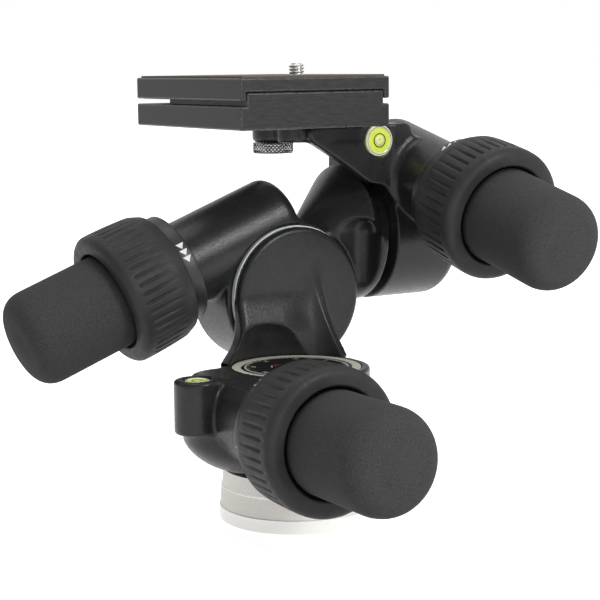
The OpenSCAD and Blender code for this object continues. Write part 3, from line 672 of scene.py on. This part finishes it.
FLANGE_X = 53.3
BELL_X0 = 30.0
BELL_R0 = 9.0
BELL_SLOPE = 1.072
DRUM_Y0 = 29.2
DRUM_Y1 = 60.0
CAP_R = 24.1
WASHER_ROOM = 28.6
POCKET_LO = (24.3, -9.0, 60.0)
POCKET_HI = (49.5, 27.5, 109.7)
POCKET_ROUND = 6.0
NOTCH_X = FLANGE_X - 5.6
NOTCH_R = 22.4


def bell_radius(t):
    """Trumpet that flares out to the flange of the side axis."""
    return join(BELL_R0 + BELL_SLOPE * (t - BELL_X0), np.full_like(t, SIDE_R), 2.0)


def flange_notch(p):
    """Upper part of the flange, cut back behind a slanting step."""
    x, y, z = p.T
    radial = np.hypot(y - side_axis[1], z - side_axis[2])
    step = (side_axis[2] + 0.9 * (FLANGE_X - 2.3 - x) - z) / 1.35
    return both(both(NOTCH_X - x, step, 0.6), NOTCH_R - radial, 0.6)


def tilt_field(p):
    """Tilt housing: drum, arm and the trumpet of the side axis."""
    u = unit["tilt"]
    line = u.wheel * [1, 0, 1]
    drum = rod(p, line, Y, DRUM_R, DRUM_Y0, DRUM_Y1, 1.4)
    barrel, nose = arm(p, u)
    bell = turned(p, side_axis * [0, 1, 1], X, bell_radius, BELL_X0 - 7, FLANGE_X, 1.2)
    bell = cut(cut(bell, flange_notch(p), 0.8), slab(p, POCKET_LO, POCKET_HI, POCKET_ROUND), 1.6)
    body = join(join(drum, barrel, 3.0), bell, 4.0)
    body = cut(body, rod(p, line, Y, WASHER_ROOM, -20, DRUM_Y0 - 0.1, 0.2), 0.5)
    body = join(body, nose, 0.4)
    body = cut(body, rod(p, line, Y, CAP_R, u.wheel[1] + ROOM_HALF, DRUM_Y1 + 5, 0.2), 0.5)
    body = cut(body, rod(p, line, Y, BUSH_R, 20, u.wheel[1], 0.2))
    body = hollow(p, body, u, (-ROOM_HALF, ROOM_HALF))
    return cut(body, rod(p, side_axis * [0, 1, 1], X, SPINDLE_ROOM, FLANGE_X - 9, FLANGE_X + 5, 0.2))


SIDE_X0 = 57.4
SIDE_X1 = cad("side_cap")[1][0]
BLOCK_Z = cad("block")[0][2]
SHELF_Z = BLOCK_Z - 6.3
WEB_Y0 = 18.0
WEB_Y1 = 69.0
LEVEL = np.array([49.6, WEB_Y0, BLOCK_Z - 6.3])
LEVEL_R = 6.3
LOCK = np.array([16.2, 43.5, 0.0])
LOCK_ROOM = 3.2
SHELF_X1 = 62.0
SHELF_BOSSES = ((16.2, 43.5, 8.2), (16.0, 28.5, 5.8), (24.0, 60.0, 6.0))
WEB_T = 5.6
ROOT_X0 = 57.6
ROOT_X1 = 66.0
ROOT_LOW = SHELF_Z - 24.0
ROOT_LEAN = 4.0
SHELF = soften([(16.0, WEB_Y0 + 5), (26.0, WEB_Y0), (SHELF_X1, WEB_Y0), (SHELF_X1, WEB_Y1), (26.0, 64.0),
                (12.0, 48.0)], 4.0)
WEB = soften([(18.0, BLOCK_Z), (18.0, SHELF_Z + 1), (20.5, SHELF_Z - 0.6), (33.0, SHELF_Z - 8),
              (46.5, SHELF_Z - 17), (53.0, SHELF_Z - 17.6), (ROOT_X0, ROOT_LOW), (ROOT_X1, ROOT_LOW),
              (ROOT_X1, BLOCK_Z)], 2.5)
ROOT = [(ROOT_X0, BLOCK_Z), (ROOT_X0, ROOT_LOW), (ROOT_X1, ROOT_LOW),
        (ROOT_X1 + ROOT_LEAN, SHELF_Z - ROOT_LEAN), (SHELF_X1, BLOCK_Z)]


def bracket(p):
    """Bracket under the block: a shelf, the web along its front and the root over the side drum."""
    shelf = prism(p, (0, 1), SHELF, SHELF_Z + 0.4, BLOCK_Z, 0.8)
    for x, y, r in SHELF_BOSSES:
        shelf = join(shelf, rod(p, np.array([x, y, 0.0]), UP, r, SHELF_Z, BLOCK_Z + 2, 1.2), 1.0)
    web = prism(p, (0, 2), WEB, WEB_Y0, WEB_Y0 + WEB_T, 1.4)
    root = prism(p, (0, 2), ROOT, WEB_Y0, WEB_Y1, 1.6)
    return join(join(shelf, web, 1.6), root, 2.5)


def side_field(p):
    """Side housing: drum, arm and bracket."""
    u = unit["side"]
    line = u.wheel * [0, 1, 1]
    drum = both(rod(p, line, X, SIDE_R, SIDE_X0 - 8, SIDE_X1, 5.0), SIDE_X0 - p[:, 0], 0.6)
    barrel, nose = arm(p, u)
    body = join(join(drum, barrel, 3.0), bracket(p), 3.5)
    body = cut(body, rod(p, line, X, SIDE_R + 0.8, 0, SIDE_X0 - 0.1, 0.3), 0.5)
    body = join(body, nose, 0.4)
    body = both(body, np.where(p[:, 0] < SHELF_X1, p[:, 2] - BLOCK_Z, -5), 0.3)
    body = cut(body, rod(p, line, X, CAP_R, u.wheel[0] + ROOM_HALF, SIDE_X1 + 5, 0.2), 0.5)
    body = cut(body, rod(p, line, X, BUSH_R, SIDE_X0 - 5, u.wheel[0], 0.2))
    body = hollow(p, body, u, (-ROOM_HALF, ROOM_HALF))
    body = cut(body, rod(p, LEVEL, Y, LEVEL_R + 0.1, -5, 4, 0.2), 0.5)
    return cut(body, rod(p, LOCK, UP, LOCK_ROOM, SHELF_Z - 9, BLOCK_Z + 9, 0.2), 0.4)


# Room round a node in which the mesh of its casting is looked for
FIELD_ROOM = 6.0


def casting(name, field, node, body, cell):
    """A casting in the room of its node."""
    lo, hi = cad(node)
    piece = skin(name, field, lo - FIELD_ROOM, hi + FIELD_ROOM, cell, paint)
    return dress(piece, body, [node])


casting("pan_casting", pan_field, "pan_housing", "pan_unit", 0.75)
casting("column_casting", column_field, "column", "pan_unit", 0.55)
casting("tilt_casting", tilt_field, "tilt_housing", "tilt_unit", 0.8)
casting("side_casting", side_field, "side_housing", "platform", 0.8)


# Knobs

GRIP_R = 18.6
GRIP_L = 39.6
GRIP_ROUND = 9.5
GRIP_CROWN = 1.2
HUB_R = 12.0
RIB_R = 26.38
COLLAR_BACK_R = 24.4
MOUTH_R = 19.6
COLLAR_L = 25.9
RIBS = 44
RIB_DEEP = 0.85
RIB_FRONT = 5.6
RIB_BACK = 20.5
SKIRT_R = 18.6
SKIRT_DEEP = 5.4
SEAT_R = 14.6
LIP_ROUND = 3.4
# Inside of a collar behind its mouth: (radius, distance)
COLLAR_INSIDE = ((MOUTH_R, -6.5), (12.4, -6.5), (12.4, -9.5), (16.2, -9.5), (16.2, -13.2), (SEAT_R, -13.2))


def grip_profile(u):
    """Foam grip: a straight barrel, a round shoulder and a slightly crowned end."""
    end = u.reach + GRIP_L
    inner = [(HUB_R, u.reach - 2.0), (GRIP_R, u.reach - 2.0)]
    side = [(GRIP_R, u.reach + s) for s in (2, 10, 18)]
    bend = []
    for a in np.linspace(0, math.pi / 2, 16):
        bend.append((GRIP_R - GRIP_ROUND + GRIP_ROUND * math.cos(a) ** 0.85,
                     end - GRIP_CROWN - GRIP_ROUND + GRIP_ROUND * math.sin(a) ** 0.85))
    crown = [(r, end - GRIP_CROWN * (r / (GRIP_R - GRIP_ROUND)) ** 2) for r in (6.5, 4.0, 1.5, 0.05)]
    return inner + side + bend + crown


def make_grip(u):
    """Foam grip of a knob."""
    profile = grip_profile(u)
    piece = lathe(u.name + "_foam", profile, u.worm, u.knob, foam, 144)
    return dress(piece, u.name + "_knob", [u.name + "_grip"])


def collar_profile():
    """Half section of a collar, from its inside round the rim to the mouth: (radius, distance, rib)."""
    skirt = -COLLAR_L + SKIRT_DEEP
    rows = [(SEAT_R, skirt, 0), (SKIRT_R, skirt, 0), (SKIRT_R, -COLLAR_L, 0)]
    rows += [(r, t, 0) for r, t in arc(COLLAR_BACK_R - 1.2, -COLLAR_L + 1.2, 1.2, -90, -12, 6)]
    rows.append((RIB_R - 0.75, -RIB_BACK - 1.2, 0))
    for t in np.linspace(-RIB_BACK, -RIB_FRONT, 16):
        share = (t + RIB_BACK) / (RIB_BACK - RIB_FRONT)
        rows.append((RIB_R - 0.55 * (1 - share) ** 2 - 0.05, t, min(1.0, 1.5 * share + 0.06)))
    rows += [(RIB_R, -RIB_FRONT + 0.5, 0.55), (RIB_R, -RIB_FRONT + 0.9, 0)]
    rows += [(r, t, 0) for r, t in arc(RIB_R - LIP_ROUND, -LIP_ROUND, LIP_ROUND, 15, 90, 10)]
    rows += [(r, t, 0) for r, t in arc(MOUTH_R + 1.0, -1.0, 1.0, 90, 180, 8)]
    return rows + [(r, t, 0) for r, t in COLLAR_INSIDE]


def groove(turn):
    """Depth share of the narrow grooves between wide ribs."""
    phase = turn / (2 * math.pi) * RIBS % 1.0
    near = np.minimum(phase, 1 - phase)
    return np.clip(1 - near / 0.19, 0, 1) ** 0.7


def make_collar(u):
    """Ribbed quick set collar of a knob."""
    steps = RIBS * 12
    rows = collar_profile()
    turn = np.linspace(0, 2 * math.pi, steps, endpoint=False)
    across, rise = basis(u.knob)
    spokes = np.outer(np.cos(turn), across) + np.outer(np.sin(turn), rise)
    dip = groove(turn) * RIB_DEEP
    points = []
    for r, t, rib in rows:
        radius = r - rib * dip
        points.append(u.worm + (u.reach + t) * u.knob + radius[:, None] * spokes)
    faces = ring_faces(len(rows), steps, True)
    piece = add_mesh(u.name + "_collar_rubber", np.concatenate(points), faces, rubber)
    return dress(piece, u.name + "_collar", [u.name + "_collar"])


INDEX_R = 21.8
INDEX_BACK = 31.6
INDEX_FRONT = 26.2


def make_index(u):
    """Marked ring behind a collar, with softened edges."""
    back, front, e = u.reach - INDEX_BACK, u.reach - INDEX_FRONT, 0.5
    profile = [(NOSE_R + 0.2, back), (INDEX_R - e, back)] + arc(INDEX_R - e, back + e, e, -90, 0, 4)
    profile += arc(INDEX_R - e, front - e, e, 0, 90, 4) + [(NOSE_R + 0.2, front)]
    piece = lathe(u.name + "_marked_ring", profile, u.worm, u.knob, satin_black, 160, True)
    return dress(piece, HOST[u.name], [u.name + "_index"])


MARK_LONG = 6.4
MARK_STEP = 7.4
MARK_INNER = 30.0
MARK_HALF = 1.75
MARK_BACK = 28.9
MARK_MIDDLE = {"pan": 160.0, "tilt": 66.5, "side": 73.5}


def on_knob(u, turn, along, radius):
    """A point round a knob's axis, by its angle in degrees."""
    across, rise = basis(u.knob)
    a = math.radians(turn)
    return u.worm + along * u.knob + radius * (math.cos(a) * across + math.sin(a) * rise)


def make_marks(u):
    """Two groups of three plain triangles on the marked ring, pointing apart."""
    points, faces = [], []
    for way in (-1, 1):
        for i in range(3):
            start = MARK_MIDDLE[u.name] + way * (MARK_INNER + i * MARK_STEP)
            first = len(points)
            for turn, t in ((start, -MARK_HALF), (start, MARK_HALF), (start + way * MARK_LONG, 0)):
                points.append(on_knob(u, turn, u.reach - MARK_BACK + t, INDEX_R + 0.05))
            order = (first, first + 1, first + 2) if way < 0 else (first, first + 2, first + 1)
            faces.append(order)
    piece = add_mesh(u.name + "_marks", points, faces, white_ink, False)
    return dress(piece, HOST[u.name])


SLIT_TURN = {"pan": (118, 290), "tilt": (113, 283), "side": (117, 290)}
SLIT_WIDE = 0.28


def make_slits(u):
    """Two fine joints across the lip of a collar, just proud of it."""
    lip = [(r, t) for r, t, rib in collar_profile() if t > -4.5 and r > MOUTH_R + 0.1]
    points, faces = [], []
    for turn in SLIT_TURN[u.name]:
        first = len(points)
        for r, t in lip:
            half = math.degrees(SLIT_WIDE / r)
            points += [on_knob(u, turn + s * half, u.reach + t + 0.03, r + 0.03) for s in (-1, 1)]
        for i in range(first, first + 2 * len(lip) - 2, 2):
            faces.append((i, i + 1, i + 3, i + 2))
    piece = add_mesh(u.name + "_slits", points, faces, black_ink, False)
    return dress(piece, u.name + "_collar")


for u in unit.values():
    make_grip(u)
    make_collar(u)
    make_index(u)
    make_marks(u)
    make_slits(u)


# Dial

DIAL_Z = PAN_TOP + 0.03
SEGMENTS = {"a": ((0, 2), (1, 2)), "b": ((1, 2), (1, 1)), "c": ((1, 1), (1, 0)), "d": ((0, 0), (1, 0)),
            "e": ((0, 1), (0, 0)), "f": ((0, 2), (0, 1)), "g": ((0, 1), (1, 1))}
DIGITS = {"0": "abcdef", "1": "bc", "2": "abged", "3": "abgcd", "4": "fgbc", "5": "afgcd",
          "7": "abc", "8": "abcdefg", "9": "abcdfg"}
DIGIT_STEP = 1.6
DIGIT_SIZE = 0.75
DIGIT_WIDE = 0.22
NUMBER_R = 16.3
NUMBER_TURN = 15.5
DIAL_LINE = (19.3, 19.75)
TICKS = 72
TICK_OUT = 19.2
TICK_IN = (18.0, 18.5)
TICK_WIDE = 0.2
POINTER = ((-6.6, 5.6), (-3.2, 6.4), (-5.2, 8.0))
DIAL_NUMBERS = ("0", "45", "90", "135", "180", "225", "270", "315")


class Print:
    """Flat ink on the dial, gathered into one mesh."""

    def __init__(self):
        self.points, self.faces = [], []

    def area(self, corners):
        first = len(self.points)
        self.points += [(x, y, DIAL_Z) for x, y in corners]
        self.faces.append(tuple(range(first, len(self.points))))

    def stroke(self, a, b, width):
        a, b = np.asarray(a, float), np.asarray(b, float)
        along = (b - a) / np.linalg.norm(b - a) * width / 2
        side = np.array([-along[1], along[0]])
        self.area([a - along - side, b + along - side, b + along + side, a - along + side])

    def band(self, r0, r1, a0, a1, steps):
        for i in range(steps):
            u, v = (math.radians(a0 + (a1 - a0) * (i + k) / steps) for k in (0, 1))
            self.area([(r0 * math.cos(u), r0 * math.sin(u)), (r1 * math.cos(u), r1 * math.sin(u)),
                       (r1 * math.cos(v), r1 * math.sin(v)), (r0 * math.cos(v), r0 * math.sin(v))])

    def number(self, word, radius, turn, size):
        """Digits that stand outwards at an angle."""
        out = np.array([math.cos(math.radians(turn)), math.sin(math.radians(turn))])
        right = np.array([out[1], -out[0]])
        for i, digit in enumerate(word):
            shift = (i - (len(word) - 1) / 2) * DIGIT_STEP
            for key in DIGITS[digit]:
                ends = [out * (radius + (v - 1) * size) + right * (shift + u - 0.5) * size
                        for u, v in SEGMENTS[key]]
                self.stroke(ends[0], ends[1], DIGIT_WIDE)

    def done(self, name, material, body):
        return dress(add_mesh(name, self.points, self.faces, material, False), body)


def make_dial():
    """Ticks, plain numbers and the red pointer on the dial."""
    white = Print()
    white.band(*DIAL_LINE, 0, 360, 144)
    for i in range(TICKS):
        turn = math.radians(360 / TICKS * i)
        way = np.array([math.cos(turn), math.sin(turn)])
        white.stroke(way * TICK_IN[i % 2], way * TICK_OUT, TICK_WIDE)
    for i, word in enumerate(DIAL_NUMBERS):
        white.number(word, NUMBER_R, 45 * i + NUMBER_TURN, DIGIT_SIZE)
    white.band(9.2, 9.6, 138, 160, 8)
    white.done("dial_marks", white_ink, "base")
    red = Print()
    red.area(POINTER)
    red.done("dial_pointer", red_ink, "base")


make_dial()


# Levels

VIAL_CORE = 0.76
DOME_TURN = 1.2


def make_level(node, body, axis, proud):
    """A round spirit level: green fluid under a pale rim, a ring, a bubble and the pale floor of its cup."""
    lo, hi = cad(node)
    middle = (lo + hi) / 2
    face = middle + axis * ((hi - lo) @ np.abs(axis) / 2)
    r = np.delete(hi - lo, np.argmax(np.abs(axis))).max() / 2
    deep = (hi - lo) @ np.abs(axis)
    core = VIAL_CORE * r
    cup = [(r, -deep), (r, -0.9)] + arc(r - 0.5, -0.5, 0.5, 0, 90, 5) + [(core + 0.15, -0.05), (core, -0.35)]
    dress(lathe(node + "_cup", cup + [(0.05, -0.35)], face, axis, vial_rim, 96), body, [node])
    dome = [(core * math.sin(a) / math.sin(DOME_TURN), -0.33 + proud * (math.cos(a) - math.cos(DOME_TURN)))
            for a in np.linspace(DOME_TURN, 0.01, 10)]
    dress(lathe(node + "_fluid", [(core, -0.34)] + dome, face, axis, vial_body, 96), body)
    top = dome[-1][1]
    for name, r0, r1, up, look in (("_ring", 0.39, 0.45, 0.05, black_ink),
                                   ("_bubble", 0.005, 0.35, 0.03, bubble),
                                   ("_line", 0.86, 0.89, 0.02, vial_dark)):
        z = (top if r1 < 0.6 else 0.0) + up
        profile = [(r0 * r, z - 0.2), (r1 * r, z - 0.2), (r1 * r, z), (r0 * r, z)]
        dress(lathe(node + name, profile, face, axis, look, 72, True), body)


make_level("pan_vial", "pan_unit", UP, 0.15)
make_level("side_vial", "platform", -Y, 0.5)


# Block, plate and their screws

EDGE = 0.7
BLOCK_H = 8.8
TONGUE_IN = 2.7
TONGUE_BACK = 24.0
PLATE_LIP = 2.4
PLATE_T = 5.1


def soft_edges(obj, width):
    """Rounds the sharp edges of a piece and gives its bevels a lighter material: partly edge wear, partly painted
    highlight.
    """
    bevel = obj.modifiers.new("edges", "BEVEL")
    bevel.width = width * MM
    bevel.segments = 3
    bevel.limit_method = "ANGLE"
    # Bevel material: partly edge wear, partly a painted highlight.
    obj.data.materials.append(edge_wear_highlight)
    bevel.material = 1
    return obj


def make_block():
    """Block with its tongue, one body with an edge all round."""
    lo, hi = cad("block")
    top = lo[2] + BLOCK_H
    back = hi[1] - TONGUE_BACK
    x0, x1, y0, y1 = lo[0], hi[0], lo[1], hi[1]
    t0, t1 = x0 + TONGUE_IN, x1 - TONGUE_IN
    points = [(x0, y0, lo[2]), (x1, y0, lo[2]), (x1, y1, lo[2]), (x0, y1, lo[2]),
              (x0, y0, top), (x1, y0, top), (x1, y1, top), (x0, y1, top),
              (t0, y0, top), (t1, y0, top), (t1, back, top), (t0, back, top),
              (t0, y0, hi[2]), (t1, y0, hi[2]), (t1, back, hi[2]), (t0, back, hi[2])]
    faces = [(3, 2, 1, 0), (0, 1, 5, 9, 13, 12, 8, 4), (1, 2, 6, 5), (2, 3, 7, 6), (3, 0, 4, 7),
             (4, 8, 11, 10, 9, 5, 6, 7), (12, 13, 14, 15), (8, 12, 15, 11), (9, 10, 14, 13), (10, 11, 15, 14)]
    piece = soft_edges(add_mesh("block_body", points, faces, anodised, False), EDGE)
    dress(piece, "platform", ["block"])


def make_plate():
    """Camera plate that hooks over the tongue."""
    lo, hi = cad("camera_plate")
    left, right, under = lo[0] + PLATE_LIP, hi[0] - PLATE_LIP, hi[2] - PLATE_T
    shape = [(lo[0], lo[2]), (left, lo[2]), (left, under), (right, under),
             (right, lo[2]), (hi[0], lo[2]), (hi[0], hi[2]), (lo[0], hi[2])]
    count = len(shape)
    points = [(x, y, z) for y in (lo[1], hi[1]) for x, z in shape]
    faces = [tuple(range(count)), tuple(reversed(range(count, 2 * count)))]
    faces += [(i, i + count, (i + 1) % count + count, (i + 1) % count) for i in range(count)]
    piece = soft_edges(add_mesh("plate_body", points, faces, anodised, False), EDGE)
    dress(piece, "plate", ["camera_plate"])


def wave(value):
    """A triangle wave between nought and one."""
    return 1 - np.abs(2 * (value % 1.0) - 1)


def turned_grid(name, rows, radius, origin, axis, material, steps):
    """A turned piece whose radius also changes round the axis. Rows are distances along it."""
    across, rise = basis(axis)
    turn = np.linspace(0, 2 * math.pi, steps, endpoint=False)
    spokes = np.outer(np.cos(turn), across) + np.outer(np.sin(turn), rise)
    points = [origin + t * axis + radius(t, turn)[:, None] * spokes for t in rows]
    faces = ring_faces(len(rows), steps)
    faces += [tuple(reversed(range(steps))), tuple(range((len(rows) - 1) * steps, len(rows) * steps))]
    return add_mesh(name, np.concatenate(points), faces, material)


KNURLS = 30
KNURL_DEEP = 0.9
KNURL_STEP = 1.5
# Share of the knurl depth below which faces carry the painted shade
KNURL_SHADE_SHARE = 0.84
LOCK_H = 4.4
LOCK_RIM = 0.5
LOCK_PIN_R = 3.0


def make_lock_knob():
    """Knurled lock screw under the block; the bottoms of its knurl carry a dark material as painted shade."""
    lo, hi = cad("lock_knob")
    middle = (lo + hi) / 2 * [1, 1, 0]
    foot = middle + lo * [0, 0, 1]
    r = (hi[0] - lo[0]) / 2

    def radius(t, turn):
        share = turn / (2 * math.pi) * KNURLS
        diamond = np.minimum(wave(share + t / KNURL_STEP), wave(share - t / KNURL_STEP))
        rim = max(0.0, LOCK_RIM - min(t, LOCK_H - t))
        return r - rim - KNURL_DEEP * (1 - diamond) * (rim < 0.4)

    rows = np.linspace(0, LOCK_H, 41)
    knob = turned_grid("lock_knurl", rows, radius, foot, UP, plated, KNURLS * 12)
    # Faces deep in the knurl get the dark material: painted shade in the grooves.
    knob.data.materials.append(knurl_painted_shade)
    middles = np.array([f.center for f in knob.data.polygons]) / MM - middle
    deep = np.hypot(middles[:, 0], middles[:, 1]) < r - KNURL_SHADE_SHARE * KNURL_DEEP
    flat = (middles[:, 2] - lo[2] < 0.1) | (middles[:, 2] - lo[2] > LOCK_H - 0.1)
    knob.data.polygons.foreach_set("use_smooth", [False] * len(knob.data.polygons))
    knob.data.polygons.foreach_set("material_index", (deep & ~flat).astype(int).tolist())
    dress(knob, "lock_knob", ["lock_knob"])
    pin = [(LOCK_PIN_R, LOCK_H - LOCK_RIM), (LOCK_PIN_R, hi[2] - lo[2])]
    dress(lathe("lock_pin", pin, foot, UP, steel, 48), "lock_knob")


THREAD_PITCH = 1.27
THREAD_DEEP = 0.6
SCREW_R = 3.175
SCREW_NECK = SCREW_R - 0.3
SCREW_TIP = 0.7
HEAD_R = 7.0
HEAD_T = 1.7
ROW_GAP = 0.01


def make_camera_screw():
    """Threaded camera screw with its flat head under the plate."""
    lo, hi = cad("camera_screw")
    foot = (lo + hi) / 2 * [1, 1, 0] + lo * [0, 0, 1]
    long = hi[2] - lo[2]
    start = cad("plate_pad")[1][2] - lo[2] - 0.2

    def radius(t, turn):
        if t < HEAD_T:
            return np.full_like(turn, HEAD_R)
        if t < start:
            return np.full_like(turn, SCREW_NECK)
        end = max(0.0, SCREW_TIP - (long - t))
        return SCREW_R - end - THREAD_DEEP * (1 - wave(t / THREAD_PITCH - turn / (2 * math.pi)))

    rows = np.concatenate([[0, HEAD_T - ROW_GAP, HEAD_T, start - ROW_GAP], np.linspace(start, long, 60)])
    screw = turned_grid("screw_thread", rows, radius, foot, UP, plated, 72)
    dress(screw, "camera_screw", ["camera_screw"])


make_block()
make_plate()
make_lock_knob()
make_camera_screw()


# Camera, floor and light

CAMERA_AT = Vector((-0.32056, -0.53858, 0.17192))
CAMERA_YAW = math.radians(30.91)
CAMERA_PITCH = math.radians(-8.07)
CAMERA_ROLL = math.radians(-0.66)
CAMERA_LENS = 100.6


def make_camera():
    """Camera at the place and lens of the reference picture."""
    look = Vector((math.sin(CAMERA_YAW) * math.cos(CAMERA_PITCH),
                   math.cos(CAMERA_YAW) * math.cos(CAMERA_PITCH), math.sin(CAMERA_PITCH)))
    level = Vector((math.cos(CAMERA_YAW), -math.sin(CAMERA_YAW), 0))
    rise = level.cross(look)
    right = math.cos(CAMERA_ROLL) * level + math.sin(CAMERA_ROLL) * rise
    upward = math.cos(CAMERA_ROLL) * rise - math.sin(CAMERA_ROLL) * level
    data = bpy.data.cameras.new("camera")
    data.lens = CAMERA_LENS
    data.sensor_width = 36.0
    data.clip_start = 0.01
    obj = bpy.data.objects.new("camera", data)
    bpy.context.scene.collection.objects.link(obj)
    turn = Matrix((right, upward, -look)).transposed()
    obj.matrix_world = Matrix.Translation(CAMERA_AT) @ turn.to_4x4()
    bpy.context.scene.camera = obj


FLOOR_HALF = 6.0
FLOOR_NEAR = 0.16
FLOOR_FAR = 0.42
FLOOR_GLOW = (0.76, 1.0)


def seen_direct(nodes, links):
    """One for rays that show the background: straight to the camera, in a reflection or through glass."""
    path = nodes.new("ShaderNodeLightPath")
    total = path.outputs["Is Camera Ray"]
    for kind in ("Is Glossy Ray", "Is Transmission Ray"):
        node = nodes.new("ShaderNodeMath")
        node.operation = "MAXIMUM"
        links.new(total, node.inputs[0])
        links.new(path.outputs[kind], node.inputs[1])
        total = node.outputs[0]
    return total


def make_floor():
    """A pale floor that fades to white away from the object and keeps its shadow."""
    m = bpy.data.materials.new("pale_floor")
    m.use_nodes = True
    nodes, links = m.node_tree.nodes, m.node_tree.links
    shader = nodes["Principled BSDF"]
    shader.inputs["Base Color"].default_value = (0.82, 0.82, 0.82, 1)
    shader.inputs["Roughness"].default_value = 0.95
    shader.inputs["Specular IOR Level"].default_value = 0.0
    shader.inputs["Emission Color"].default_value = (1, 1, 1, 1)
    coord = nodes.new("ShaderNodeTexCoord")
    far = nodes.new("ShaderNodeVectorMath")
    far.operation = "LENGTH"
    links.new(coord.outputs["Object"], far.inputs[0])
    fade = spread(m, far.outputs["Value"], FLOOR_NEAR, FLOOR_FAR, *FLOOR_GLOW)
    glow = nodes.new("ShaderNodeMath")
    glow.operation = "MULTIPLY"
    links.new(fade, glow.inputs[0])
    links.new(seen_direct(nodes, links), glow.inputs[1])
    links.new(glow.outputs[0], shader.inputs["Emission Strength"])
    mesh = bpy.data.meshes.new("floor")
    corners = [(-1, -1), (1, -1), (1, 1), (-1, 1)]
    mesh.from_pydata([(FLOOR_HALF * a, FLOOR_HALF * b, 0) for a, b in corners], [], [(0, 1, 2, 3)])
    mesh.materials.append(m)
    obj = bpy.data.objects.new("floor", mesh)
    bpy.context.scene.collection.objects.link(obj)
    obj.location.z = -0.0002


BACKDROP_WAY = (0.50, 0.85, -0.15)
ROOM_DARK = 0.31
ROOM_LIGHT = 0.95
ROOM_SPAN = (-0.35, 0.55)


def make_world():
    """White backdrop behind the object and a dim room in front of it."""
    world = bpy.data.worlds.new("studio")
    bpy.context.scene.world = world
    world.use_nodes = True
    nodes, links = world.node_tree.nodes, world.node_tree.links
    back = nodes["Background"]
    back.inputs["Color"].default_value = (1, 1, 1, 1)
    coord = nodes.new("ShaderNodeTexCoord")
    way = nodes.new("ShaderNodeVectorMath")
    way.operation = "DOT_PRODUCT"
    way.inputs[1].default_value = BACKDROP_WAY
    links.new(coord.outputs["Generated"], way.inputs[0])
    room = spread(world, way.outputs["Value"], *ROOM_SPAN, ROOM_DARK, ROOM_LIGHT)
    path = nodes.new("ShaderNodeLightPath")
    level = nodes.new("ShaderNodeMath")
    level.operation = "MAXIMUM"
    links.new(room, level.inputs[0])
    links.new(path.outputs["Is Camera Ray"], level.inputs[1])
    links.new(level.outputs[0], back.inputs["Strength"])


def add_light(name, at, aim, size, power):
    """A soft rectangular lamp, aimed at a point."""
    data = bpy.data.lights.new(name, "AREA")
    data.shape = "RECTANGLE"
    data.size, data.size_y = size
    data.energy = power
    obj = bpy.data.objects.new(name, data)
    bpy.context.scene.collection.objects.link(obj)
    obj.location = at
    obj.rotation_euler = (Vector(aim) - Vector(at)).to_track_quat("-Z", "Y").to_euler()


MIDDLE = (0.02, 0.02, 0.09)
make_camera()
make_floor()
make_world()
add_light("top", (-0.05, 0.05, 0.90), MIDDLE, (0.5, 0.4), 1.5)
add_light("key", (0.27, -0.86, 0.60), MIDDLE, (0.30, 0.30), 5.5)
add_light("fill", (-0.50, -1.20, 0.20), MIDDLE, (1.6, 1.0), 3.0)

bpy.context.scene.view_settings.view_transform = "Standard"
